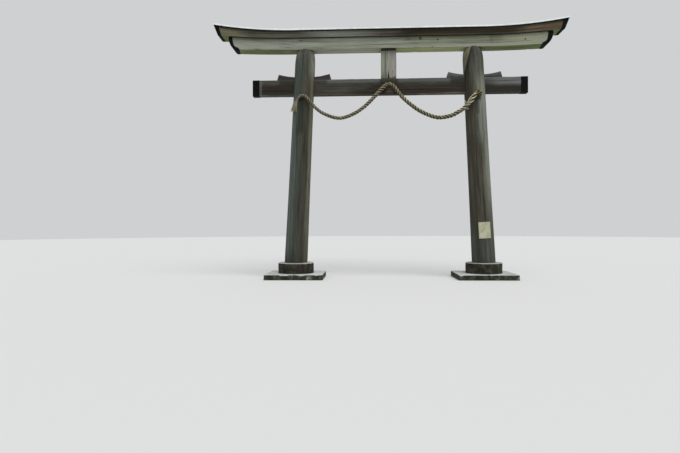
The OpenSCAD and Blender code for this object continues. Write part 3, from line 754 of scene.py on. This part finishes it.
def makeLooseStrands():
    tubes = []
    for i, (points, radius) in enumerate(zip(looseStrands, looseRadii)):
        stations, _ = smoothRoute([Vector(point) for point in points], 0.012)
        line = [point for point, _ in stations]
        radii = [radius * (1 - 0.45 * abs(2 * k / (len(line) - 1) - 1) ** 3) for k in range(len(line))]
        tubes.append(sweptTube(line, radii, 12, 8 + i, rough=0.16, dark=0.05))
    return newPiece("rope_loose_strands", joined(tubes), finishes["straw"], sharp=60)


def makeTail():
    top, foot = Vector(tail["from"]), Vector(tail["to"])
    way = (foot - top).normalized()
    across = way.cross(Vector((0, 1, 0))).normalized()
    forth = way.cross(across)
    length = (foot - top).length
    coreStart, coreEnd = tail["core"]
    core = [top + way * length * (coreStart + (coreEnd - coreStart) * i / 13) for i in range(14)]
    widths = [tail["width"] + (tail["endWidth"] - tail["width"]) * i / 13 for i in range(14)]
    parts = [strandedRope(core, widths, rope, seed=1.2)]
    paths = []
    for i in range(tail["straws"]):
        angle = random.uniform(0, 2 * math.pi)
        far = math.sqrt(random.random())
        out = math.cos(angle) * across + math.sin(angle) * forth
        start, end = random.uniform(*tail["start"]), random.uniform(*tail["end"])
        bunch = random.random() < tail["bunchShare"]
        aside = across * (-tail["bunchOut"] if bunch else 0.0)
        path = []
        for k in range(7):
            share = start + (end - start) * k / 6
            width = tail["gather"] + (tail["spread"] * far - tail["gather"] * 0.4) * (k / 6) ** 1.3
            path.append(top + way * length * share + out * width * (0.4 + 0.6 * far) + aside * (k / 6) ** 0.3)
        paths.append(path)
    parts.append(straws(paths, tail["strawRadius"], 2.0))
    return newPiece("rope_frayed_tail", joined(parts), finishes["straw"], ["rope_tail"], sharp=60)


def makeWisps(centres, widths):
    paths = []
    for i in range(wisps["count"]):
        at = random.randrange(4, len(centres) - 6)
        way = (centres[at + 1] - centres[at - 1]).normalized()
        across = way.cross(Vector((0, 1, 0))).normalized()
        upward = way.cross(across)
        angle = random.uniform(0, 2 * math.pi)
        out = math.cos(angle) * across + math.sin(angle) * upward
        lean = random.uniform(*wisps["lean"])
        along = way * random.choice((-1, 1)) * math.cos(lean) + out * math.sin(lean)
        length = random.uniform(*wisps["length"])
        start = centres[at] + out * widths[at] * 0.46
        bend = random.uniform(-0.3, 0.3) * length
        paths.append([start + along * length * k / 4 + (upward * bend - Vector((0, 0, 0.2 * length))) * (k / 4) ** 2
                      for k in range(5)])
    return newPiece("rope_straw_wisps", straws(paths, wisps["radius"], 4.0), finishes["straw"], sharp=60)


ropePiece, ropeCentres, ropeWidths, ropeLength = makeRope()
makeWinding()
loosePiece = makeLooseStrands()
makeTail()
wispPiece = makeWisps(ropeCentres, ropeWidths)
print("rope's knot, strands and straws made")


# The gate's lines, in metres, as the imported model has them
gate = {"footZ": 0.470, "spacing": 5.640, "lean": 0.050, "footR": 0.350, "neckR": 0.3075, "headR": 0.220,
        "neckZ": 6.420, "headH": 0.455, "flare": 1.5, "lintelZ": 6.850, "jointZ": 7.195, "roofZ": 7.395,
        "sweepFrom": 2.800, "soffitRise": 0.045, "jointRise": 0.090, "roofRise": 0.215,
        "lowerReach": 4.805, "lowerTuck": 0.160, "tuckCurve": 2.8, "upperReach": 5.245, "upperRake": 0.120,
        "beamZ": 5.510, "beamTop": 5.985, "sheet": 0.004}


def axisX(z):
    return gate["spacing"] / 2 - gate["lean"] * (z - gate["footZ"])


def pillarR(z):
    if z < gate["neckZ"]:
        up = (z - gate["footZ"]) / (gate["neckZ"] - gate["footZ"])
        return gate["neckR"] + (gate["footR"] - gate["neckR"]) * max(0, 1 - up) ** gate["flare"]
    up = (z - gate["neckZ"]) / gate["headH"]
    return gate["headR"] + (gate["neckR"] - gate["headR"]) * math.sqrt(max(0, 1 - up * up))


def sweep(x, rise, reach):
    return rise * (max(0, abs(x) - gate["sweepFrom"]) / (reach - gate["sweepFrom"])) ** 2


def jointLine(x):
    return gate["jointZ"] + sweep(x, gate["jointRise"], gate["lowerReach"])


def roofLine(x):
    return gate["roofZ"] + sweep(x, gate["roofRise"], gate["upperReach"])


def soffitLine(x):
    return gate["lintelZ"] + sweep(x, gate["soffitRise"], gate["lowerReach"] - gate["lowerTuck"])


def edgedLines(low, high, cell, places=(), edge=(0.007, 0.02)):  # lattice lines, closer at edges and checks
    inner = spaced(low + edge[1], high - edge[1], cell)
    for place in places:
        inner = [line for line in inner if abs(line - place) > 0.016 or line in (inner[0], inner[-1])]
        inner += [place - 0.006, place, place + 0.006]
    return sorted([low, low + edge[0]] + inner + [high - edge[0], high])


def wearBar(bm, low, high, wear, seed, checks=(), along=0):
    # rounds and chips the edges, makes the faces uneven and opens drying checks
    straight = bm.verts.layers.float_vector["straight"]
    marks = bm.verts.layers.float_vector["marks"]
    for v in bm.verts:
        at = v.co.copy()
        chip = max(0.0, ripple(at, 6, seed + 3) - 0.3) * wear["chips"]
        radius = wear["edge"] * (1 + 0.5 * ripple(at, 4, seed)) + chip
        inner = Vector((0, 0, 0))
        gaps = []
        for k in range(3):
            room = min(radius, (high[k] - low[k]) * 0.45)
            inner[k] = clamp(at[k], low[k] + room, high[k] - room)
            gaps.append(min(at[k] - low[k], high[k] - at[k]))
        out = at - inner
        outward = out.normalized()
        reach = min(radius, out.length) if sum(abs(part) > 1e-6 for part in out) > 1 else out.length
        v.co = inner + outward * (reach - wear["wave"] * (0.5 + 0.5 * ripple(at, wear["waveScale"], seed + 9)))
        gaps.sort()
        sideways = 1 - abs(outward.z) if wear["stone"] else (at.z - low[2]) / (high[2] - low[2])
        mark = Vector((0, clamp(1 - gaps[1] / 0.03, 0, 1), sideways))
        for faceAxis, side, lineAxis, place, start, end, depth in checks:
            face = low[faceAxis] if side < 0 else high[faceAxis]
            off = at[lineAxis] - place
            if abs(at[faceAxis] - face) > 1e-6 or abs(off) > 0.0085 or not start < at[along] < end:
                continue
            opened = math.sin(math.pi * (at[along] - start) / (end - start)) ** 0.6
            wander = noise.noise(Vector((at[along] * 1.9, place * 9 + seed, face * 3)))
            v.co[lineAxis] += 0.014 * wander * min(1, opened * 2)
            if abs(off) < 1e-4:
                opened *= 0.8 + 0.4 * noise.noise(Vector((at[along] * 9, place, seed)))
                v.co[faceAxis] -= side * depth * opened
                mark.x = opened
            else:
                v.co[lineAxis] -= math.copysign(0.004 * (1 - opened), off)
        turned = (at.y, at.z, at.x) if along == 0 else at
        v[straight] = Vector(turned) + Vector((seed * 0.9, seed * 0.4, seed * 1.3))
        v[marks] = mark


timberWear = {"edge": 0.011, "chips": 0.05, "wave": 0.005, "waveScale": 1.3, "stone": False}


def bendLower(co):
    share = (gate["jointZ"] - co.z) / (gate["jointZ"] - gate["lintelZ"])
    drawn = max(0, (abs(co.x) - 4.2) / (gate["lowerReach"] - 4.2))
    co.x -= math.copysign(gate["lowerTuck"] * clamp(share, 0, 1) ** gate["tuckCurve"] * drawn, co.x)
    co.z = jointLine(co.x) + (soffitLine(co.x) - jointLine(co.x)) * share


def bendUpper(co):
    share = (gate["roofZ"] - co.z) / (gate["roofZ"] - gate["jointZ"])
    drawn = max(0, (abs(co.x) - 4.6) / (gate["upperReach"] - 4.6))
    co.x -= math.copysign(gate["upperRake"] * share * drawn, co.x)
    co.z = roofLine(co.x) + (jointLine(co.x) - roofLine(co.x)) * share


def timberBar(name, low, high, cell, finish, replaced, seed, checks=(), bend=None, wear=timberWear, along=0):
    places = [[], [], []]
    for check in checks:
        if check[3] not in places[check[2]]:
            places[check[2]].append(check[3])
    lines = [edgedLines(low[k], high[k], cell[k], places[k]) for k in range(3)]
    bm = latticeBar(*lines)
    wearBar(bm, low, high, wear, seed, checks, along)
    if bend:
        for v in bm.verts:
            bend(v.co)
    return newPiece(name, bm, finishes[finish], replaced)


front, back, under = (1, -1), (1, 1), (2, -1)


def makeLintels():
    lower = {"low": (-4.801, -0.225, 6.850), "high": (4.801, 0.225, 7.195)}
    lowerChecks = [(*front, 2, 7.085, -3.9, -2.1, 0.016), (*front, 2, 6.965, -1.9, 0.6, 0.014),
                   (*front, 2, 7.085, 0.4, 2.2, 0.016), (*front, 2, 6.965, 2.3, 4.3, 0.016),
                   (*back, 2, 7.085, -2.6, 0.9, 0.016), (*back, 2, 6.965, 0.7, 3.9, 0.016),
                   (*under, 1, -0.085, -3.4, -0.6, 0.014), (*under, 1, 0.06, 0.2, 3.1, 0.014)]
    timberBar("lower_lintel_timber", lower["low"], lower["high"], (0.03, 0.03, 0.03), "grey",
              ["lower_lintel"], 1.0, lowerChecks, bendLower)
    upper = {"low": (-5.241, -0.280, 7.195), "high": (5.241, 0.280, 7.395)}
    upperChecks = [(*front, 2, 7.315, -4.4, -2.4, 0.012), (*front, 2, 7.265, -1.6, 1.4, 0.012),
                   (*front, 2, 7.315, 1.9, 3.6, 0.012), (*front, 2, 7.265, 3.0, 4.6, 0.012),
                   (*back, 2, 7.315, -3.4, -0.2, 0.012), (*back, 2, 7.265, 0.5, 4.1, 0.012)]
    timberBar("upper_lintel_timber", upper["low"], upper["high"], (0.03, 0.035, 0.03), "brown",
              ["upper_lintel"], 2.0, upperChecks, bendUpper)


def makeTieBeam():
    low, high = (-4.106, -0.100, 5.510), (4.106, 0.100, 5.985)
    checks = [(*front, 2, 5.865, -2.2, 0.3, 0.014), (*front, 2, 5.655, -0.6, 2.1, 0.014),
              (*front, 2, 5.865, 2.9, 3.9, 0.012), (*front, 2, 5.655, -3.9, -2.9, 0.012),
              (*back, 2, 5.865, -1.9, 1.6, 0.014), (*back, 2, 5.655, -2.2, -0.4, 0.014)]
    timberBar("tie_beam_timber", low, high, (0.03, 0.03, 0.03), "beam", ["tie_beam"], 3.0, checks)


def makeStrut():
    low, high = (-0.230, -0.095, 5.985), (0.230, 0.095, 6.850)
    checks = [(*front, 0, -0.006, 5.90, 6.30, 0.018), (*front, 0, -0.036, 6.50, 6.86, 0.012),
              (*back, 0, 0.04, 6.1, 6.7, 0.014)]
    timberBar("centre_strut_timber", low, high, (0.026, 0.03, 0.026), "strut", ["centre_strut"], 4.0,
              checks, along=2)


wedgeShape = {"in": 0.250, "out": 0.465, "slant": 0.050, "tip": 0.080, "butt": 0.175, "curve": 2.2,
              "thick": 0.184}


def makeWedges():
    radius = pillarR(gate["beamTop"])
    start, end = radius - wedgeShape["in"], radius + wedgeShape["out"]
    half = wedgeShape["thick"] / 2
    for side, word in ((-1, "left"), (1, "right")):
        for place, where in ((1, "outer"), (-1, "inner")):
            def bend(co):
                share = (co.x - start) / (end - start)
                top = wedgeShape["tip"] + (wedgeShape["butt"] - wedgeShape["tip"]) * clamp(share, 0, 1) ** wedgeShape["curve"]
                up = co.z / wedgeShape["butt"]
                co.x += wedgeShape["slant"] * (1 - up) * smoothStep(0.55, 1, share)
                co.z = gate["beamTop"] + top * up
                co.x = side * (axisX(gate["beamTop"]) + place * co.x)
            timberBar(f"{word}_{where}_wedge_timber", (start, -half, 0), (end, half, wedgeShape["butt"]),
                      (0.03, 0.03, 0.03), "wedge", [f"{word}_{where}_wedge"], 5 + side + place * 0.3,
                      bend=bend)


pillarShape = {"sides": 112, "cell": 0.04, "wave": 0.006, "ridge": 0.002}


def makePillar(side, word, seed):
    zs = spaced(gate["footZ"], gate["neckZ"], pillarShape["cell"])
    zs += [gate["neckZ"] + gate["headH"] * math.sin(math.radians(a)) for a in range(6, 91, 6)]
    sides = pillarShape["sides"]
    checks = [(round(sides * turn), start, end, depth) for turn, start, end, depth in (
        (0.77, 0.9, 3.1, 0.016), (0.70, 2.6, 5.3, 0.014), (0.815, 3.4, 4.9, 0.012), (0.735, 6.2, 6.8, 0.012),
        (0.66, 0.6, 1.9, 0.014), (0.86, 1.3, 4.2, 0.014), (0.25, 0.9, 3.9, 0.018), (0.17, 2.9, 5.3, 0.014),
        (0.40, 0.7, 2.7, 0.014), (0.02, 1.2, 4.4, 0.016), (0.50, 1.6, 5.0, 0.016), (0.33, 4.0, 6.5, 0.012))]
    bm = roundBar(len(zs), sides)
    straight = bm.verts.layers.float_vector["straight"]
    marks = bm.verts.layers.float_vector["marks"]
    for v in bm.verts:
        z = zs[round(v.co.z)]
        index = round(math.atan2(v.co.y, v.co.x) / (2 * math.pi) * sides) % sides
        angle = 2 * math.pi * index / sides
        radius = pillarR(z)
        around = Vector((math.cos(angle), math.sin(angle), z * 0.35))
        radius -= pillarShape["wave"] * (0.5 + 0.5 * ripple(around, 1.7, seed))
        radius -= pillarShape["ridge"] * (0.5 + 0.5 * ripple((around.x * 9, around.y * 9, z * 0.5), 1, seed + 4))
        mark = 0.0
        for column, start, end, depth in checks:
            off = (index - column + sides // 2) % sides - sides // 2
            if abs(off) > 2 or not start < z < end:
                continue
            opened = math.sin(math.pi * (z - start) / (end - start)) ** 0.6
            wander = 0.05 * noise.noise(Vector((z * 1.3, column, seed)))
            angle += wander * min(1, opened * 2) * (1 - abs(off) / 3)
            if off == 0:
                opened *= 0.8 + 0.4 * noise.noise(Vector((z * 8, column, seed)))
                radius -= depth * opened
                mark = opened
            elif abs(off) == 1:
                angle -= math.copysign(0.036 * opened, off)
        low = max(0, 1 - (z - gate["footZ"]) / 0.05) * 0.006
        local = Vector((math.cos(angle), math.sin(angle), 0)) * (radius - low)
        if side > 0 and abs(z - 1.435) < 0.24:
            local.y = max(local.y, 0.008 - pillarR(1.435))
        v[straight] = Vector((local.x + seed * 3, local.y, z))
        v[marks] = Vector((mark, 0, z))
        v.co = Vector((side * axisX(z) + local.x, local.y, z))
    newPiece(f"{word}_pillar_log", bm, finishes[f"{word}_pillar"], [f"{word}_pillar"], 50)


capWear = {"edge": 0.004, "chips": 0.0, "wave": 0.003, "waveScale": 5.0, "stone": False}


def capPiece(name, node, side, box, inner, bend, seed, finish="cap"):
    # a cap of sheet metal round a timber's end, with an uneven inner edge
    low, high = box
    ts = edgedLines(0, 1, 0.12, edge=(0.03, 0.08))
    bm = latticeBar(ts, edgedLines(low[1], high[1], 0.035), edgedLines(low[2], high[2], 0.03))
    wearBar(bm, (0, low[1], low[2]), (1, high[1], high[2]), capWear, seed)
    for v in bm.verts:
        share = (high[2] - v.co.z) / (high[2] - low[2])
        start = inner[0] + (inner[1] - inner[0]) * share
        if len(inner) > 2:
            start -= inner[2] * smoothStep(0.75, 0.80, share)
            start += inner[3] * smoothStep(0.96, 1, share) * (v.co.y - low[1]) / (high[1] - low[1])
        start += 0.012 * ripple((v.co.y, v.co.z, side), 11, seed) + 0.006 * ripple((v.co.y, v.co.z, side), 30, seed)
        v.co.x = side * (start + (high[0] - start) * v.co.x)
        if bend:
            bend(v.co)
    return newPiece(name, bm, finishes[finish], [node], 30)


def makeCaps():
    skin = gate["sheet"]
    for side, word, lowerEdge in ((-1, "left", (4.690, 4.690, 0.110, 0.165)),
                                  (1, "right", (4.655, 4.655, 0.090, 0.165))):
        capPiece(f"tie_beam_{word}_cap_metal", f"tie_beam_{word}_cap", side,
                 ((0, -0.1 - skin, 5.510 - skin), (4.110, 0.1 + skin, 5.985 + skin)), (3.905, 3.905), None, 11 + side)
        capPiece(f"lower_lintel_{word}_cap_metal", f"lower_lintel_{word}_cap", side,
                 ((0, -0.225 - skin, 6.850 - skin), (4.805, 0.225 + skin, 7.195)), lowerEdge, bendLower, 14 + side)
        capPiece(f"upper_lintel_{word}_cap_metal", f"upper_lintel_{word}_cap", side,
                 ((0, -0.280 - skin, 7.195 - skin), (5.245, 0.280 + skin, 7.395)), (5.095, 5.110), bendUpper,
                 17 + side)


roofShape = {"board": 0.300, "eave": 0.055, "pitch": 0.065, "drip": 0.020, "fascia": 0.040, "ridge": 0.065,
             "seam": 0.91}


def slopeZ(y):
    return roofShape["eave"] + roofShape["pitch"] * (1 - abs(y) / roofShape["board"])


def makeBoarding():
    for word, start, end in (("left", -5.243, -2.8), ("middle", -2.8, 2.8), ("right", 2.8, 5.243)):
        def bend(co):
            co.z = roofLine(co.x) + co.z * slopeZ(co.y)
        bm = latticeBar(spaced(start, end, 0.08), sorted(set(spaced(-0.3, 0.3, 0.05) + [0.0])), [0, 0.2, 1])
        straight = bm.verts.layers.float_vector["straight"]
        for v in bm.verts:
            v[straight] = Vector((v.co.y, v.co.z * 0.05, v.co.x))
            v.co.y *= 1 - 0.004 * (0.5 + 0.5 * ripple(v.co, 3))
            bend(v.co)
        newPiece(f"roof_boarding_{word}_planks", bm, finishes["board"], [f"roof_boarding_{word}"], 30)


def profiledSheet(name, node, line, seams, wave, seed, seamFrom=0.0):
    # a folded sheet: stations run round its section and two layers give its thickness
    xs = set(spaced(-5.249, 5.249, 0.07))
    for place in seams:
        xs = {x for x in xs if abs(x - place) > 0.045 or abs(x) > 5.2}
        xs |= {place - 0.002, place, place + 0.03, place + 0.032}
    xs = sorted(xs)
    bm = latticeBar(xs, list(range(len(line))), [0, 1])
    outs = []
    for i in range(len(line)):
        a, b = Vector(line[max(i - 1, 0)]), Vector(line[min(i + 1, len(line) - 1)])
        way = (b - a).normalized()
        outs.append(Vector((way.y, -way.x)))
    if outs[0].y < 0:
        outs = [-out for out in outs]
    straight = bm.verts.layers.float_vector["straight"]
    for v in bm.verts:
        i, layer, x = round(v.co.y), v.co.z, v.co.x
        lift = 0.004 * layer + wave * (0.5 + 0.5 * ripple((x, i * 0.05, 0), 3.1, seed)) * layer
        if abs(line[i][0]) > seamFrom and any(place - 0.001 <= x <= place + 0.031 for place in seams):
            lift += 0.003 * layer
        y, z = Vector(line[i]) + outs[i] * lift
        v[straight] = Vector((y, z, x))
        v.co = Vector((x, y, roofLine(x) + z))
    return newPiece(name, bm, finishes["sheet"], [node], 25)


def makeRoof():
    out = roofShape["board"] + roofShape["drip"]
    low = slopeZ(out) - roofShape["fascia"]
    slope = [(y, slopeZ(y)) for y in spaced(0, out - 0.006, 0.04)]
    fold = [(out - 0.002, slopeZ(out) - 0.001), (out, slopeZ(out) - 0.006)]
    drop = [(out, slopeZ(out) - 0.02), (out, low + 0.004), (out + 0.001, low)]
    seams = [place * roofShape["seam"] + 0.3 for place in range(-6, 6)]
    for side, word in ((-1, "front"), (1, "back")):
        line = [(side * y, z) for y, z in slope + fold + drop]
        if side > 0:
            line.reverse()
        profiledSheet(f"roof_sheet_{word}_metal", f"roof_sheet_{word}", line, seams, 0.002, 20 + side,
                      0.07)
    half = roofShape["ridge"]
    ridge = [(y, slopeZ(y) + 0.0025) for y in (-half, -half * 0.66, -half * 0.33, -0.008, 0, 0.008, half * 0.33,
                                              half * 0.66, half)]
    profiledSheet("ridge_cap_metal", "ridge_cap", ridge, [place + 0.45 for place in seams if abs(place + 0.45) < 5],
                  0.001, 23)


stoneWear = {"edge": 0.018, "chips": 0.09, "wave": 0.006, "waveScale": 5.0, "stone": True}


def makeSlabs():
    width = 0.856
    for side, word in ((-1, "left"), (1, "right")):
        for place, where in ((1, "outer"), (-1, "inner")):
            middle = side * (2.820 + place * (width + 0.008) / 2)
            low, high = (middle - width / 2, -0.750, -0.02), (middle + width / 2, 0.750, 0.160)
            bm = latticeBar(*[edgedLines(low[k], high[k], (0.03, 0.03, 0.03)[k]) for k in range(3)])
            wearBar(bm, low, high, stoneWear, 30 + side * 2 + place)
            for v in bm.verts:
                v.co.z = max(0.0, v.co.z)
            newPiece(f"{word}_slab_{where}_stone", bm, finishes["slab"], [f"{word}_slab_{where}"], 60)


def makeDrums():
    rings = [(0.540, z) for z in spaced(0.160, 0.448, 0.03)]
    rings += [(0.518 + 0.022 * math.cos(math.radians(a)), 0.448 + 0.022 * math.sin(math.radians(a)))
              for a in range(15, 91, 15)]
    rings += [(radius, 0.470) for radius in (0.50, 0.47, 0.44, 0.41, 0.38, 0.34)]
    for side, word in ((-1, "left"), (1, "right")):
        bm = roundBar(len(rings), 120)
        marks = bm.verts.layers.float_vector["marks"]
        for v in bm.verts:
            radius, z = rings[round(v.co.z)]
            angle = math.atan2(v.co.y, v.co.x)
            point = Vector((radius * math.cos(angle), radius * math.sin(angle), z))
            worn = 0.006 * (0.5 + 0.5 * ripple(point, 5, 40 + side)) + 0.003 * (0.5 + 0.5 * ripple(point, 17, 42))
            chip = max(0, ripple(point, 6, 44 + side) - 0.25) * 0.06 * smoothStep(0.38, 0.46, z) * smoothStep(0.4, 0.5, radius)
            point -= Vector((math.cos(angle), math.sin(angle), 0)) * (worn * smoothStep(0.36, 0.46, radius) + chip)
            point.z -= 0.5 * chip
            v[marks] = Vector((0, 0, 1 - smoothStep(0.445, 0.468, z)))
            v.co = point + Vector((side * 2.820, 0, 0))
        newPiece(f"{word}_base_stone_drum", bm, finishes["drum"], [f"{word}_base_stone"], 60)


def makeNotice():
    wear = {"edge": 0.003, "chips": 0.01, "wave": 0.001, "waveScale": 9.0, "stone": False}
    low, high = Vector((-0.1725, -0.014, -0.2425)), Vector((0.1725, 0.0, 0.2425))
    bm = latticeBar(edgedLines(low.x, high.x, 0.02), [low.y, low.y + 0.004, -0.004, 0.0], edgedLines(low.z, high.z, 0.02))
    wearBar(bm, low, high, wear, 50, along=2)
    z = 1.435
    turn = Matrix.Rotation(-math.atan(gate["lean"]), 4, "Y")
    put = Matrix.Translation((axisX(z), 0.008 - pillarR(z), z)) @ turn
    bmesh.ops.transform(bm, matrix=put, verts=bm.verts)
    newPiece("notice_board_panel", bm, finishes["notice"], ["notice_board"], 30)


makePillar(-1, "left", 1.0)
makePillar(1, "right", 2.0)
makeTieBeam()
makeWedges()
makeStrut()
makeLintels()
makeCaps()
makeBoarding()
makeRoof()
makeSlabs()
makeDrums()
makeNotice()
print("gate made")


def addLight():
    world = bpy.data.worlds.new("sky")
    bpy.context.scene.world = world
    world.use_nodes = True
    tree = world.node_tree
    tree.nodes.clear()
    path = tree.nodes.new("ShaderNodeLightPath")
    seen = tree.nodes.new("ShaderNodeMath")
    seen.operation = "MAXIMUM"
    mirrored = tree.nodes.new("ShaderNodeMath")
    mirrored.operation = "MAXIMUM"
    tree.links.new(path.outputs["Is Camera Ray"], seen.inputs[0])
    tree.links.new(path.outputs["Is Glossy Ray"], seen.inputs[1])
    tree.links.new(seen.outputs[0], mirrored.inputs[0])
    tree.links.new(path.outputs["Is Transmission Ray"], mirrored.inputs[1])
    shown = tree.nodes.new("ShaderNodeBackground")
    shown.inputs["Color"].default_value = tone(207, 208, 209)
    shown.inputs["Strength"].default_value = 1.0
    lit = tree.nodes.new("ShaderNodeBackground")
    lit.inputs["Color"].default_value = (0.94, 0.97, 1.0, 1)
    lit.inputs["Strength"].default_value = 0.5
    mixed = tree.nodes.new("ShaderNodeMixShader")
    tree.links.new(mirrored.outputs[0], mixed.inputs[0])
    tree.links.new(lit.outputs[0], mixed.inputs[1])
    tree.links.new(shown.outputs[0], mixed.inputs[2])
    output = tree.nodes.new("ShaderNodeOutputWorld")
    tree.links.new(mixed.outputs[0], output.inputs["Surface"])
    lamp = bpy.data.lights.new("soft_key", "SUN")
    lamp.angle = math.radians(50)
    lamp.energy = 2.4
    key = bpy.data.objects.new("soft_key", lamp)
    aim = Vector((-0.30, 0.62, -1.0))
    key.matrix_world = Matrix.Translation((-7, -14, 13)) @ aim.to_track_quat("-Z", "Y").to_matrix().to_4x4()
    bpy.context.scene.collection.objects.link(key)


def addFloor():
    bm = bmesh.new()
    bmesh.ops.create_circle(bm, cap_ends=True, segments=96, radius=60)
    mesh = bpy.data.meshes.new("floor")
    bm.to_mesh(mesh)
    bm.free()
    floor = bpy.data.objects.new("floor", mesh)
    bpy.context.scene.collection.objects.link(floor)
    f = Finish("floor")
    shader = f.node("ShaderNodeBsdfPrincipled", None, {"Base Color": tone(214, 214, 212), "Roughness": 0.9,
                                                       "Specular IOR Level": 0.2})
    f.node("ShaderNodeOutputMaterial", None, {"Surface": shader})
    mesh.materials.append(f.material)


addLight()
addFloor()

for name, finish in (("roof_left_end", "sheet"), ("roof_right_end", "sheet"), ("left_rope_peg", "iron"),
                     ("centre_rope_peg", "iron"), ("right_rope_peg", "iron")):
    nodes[name].data.materials.clear()
    nodes[name].data.materials.append(finishes[finish])
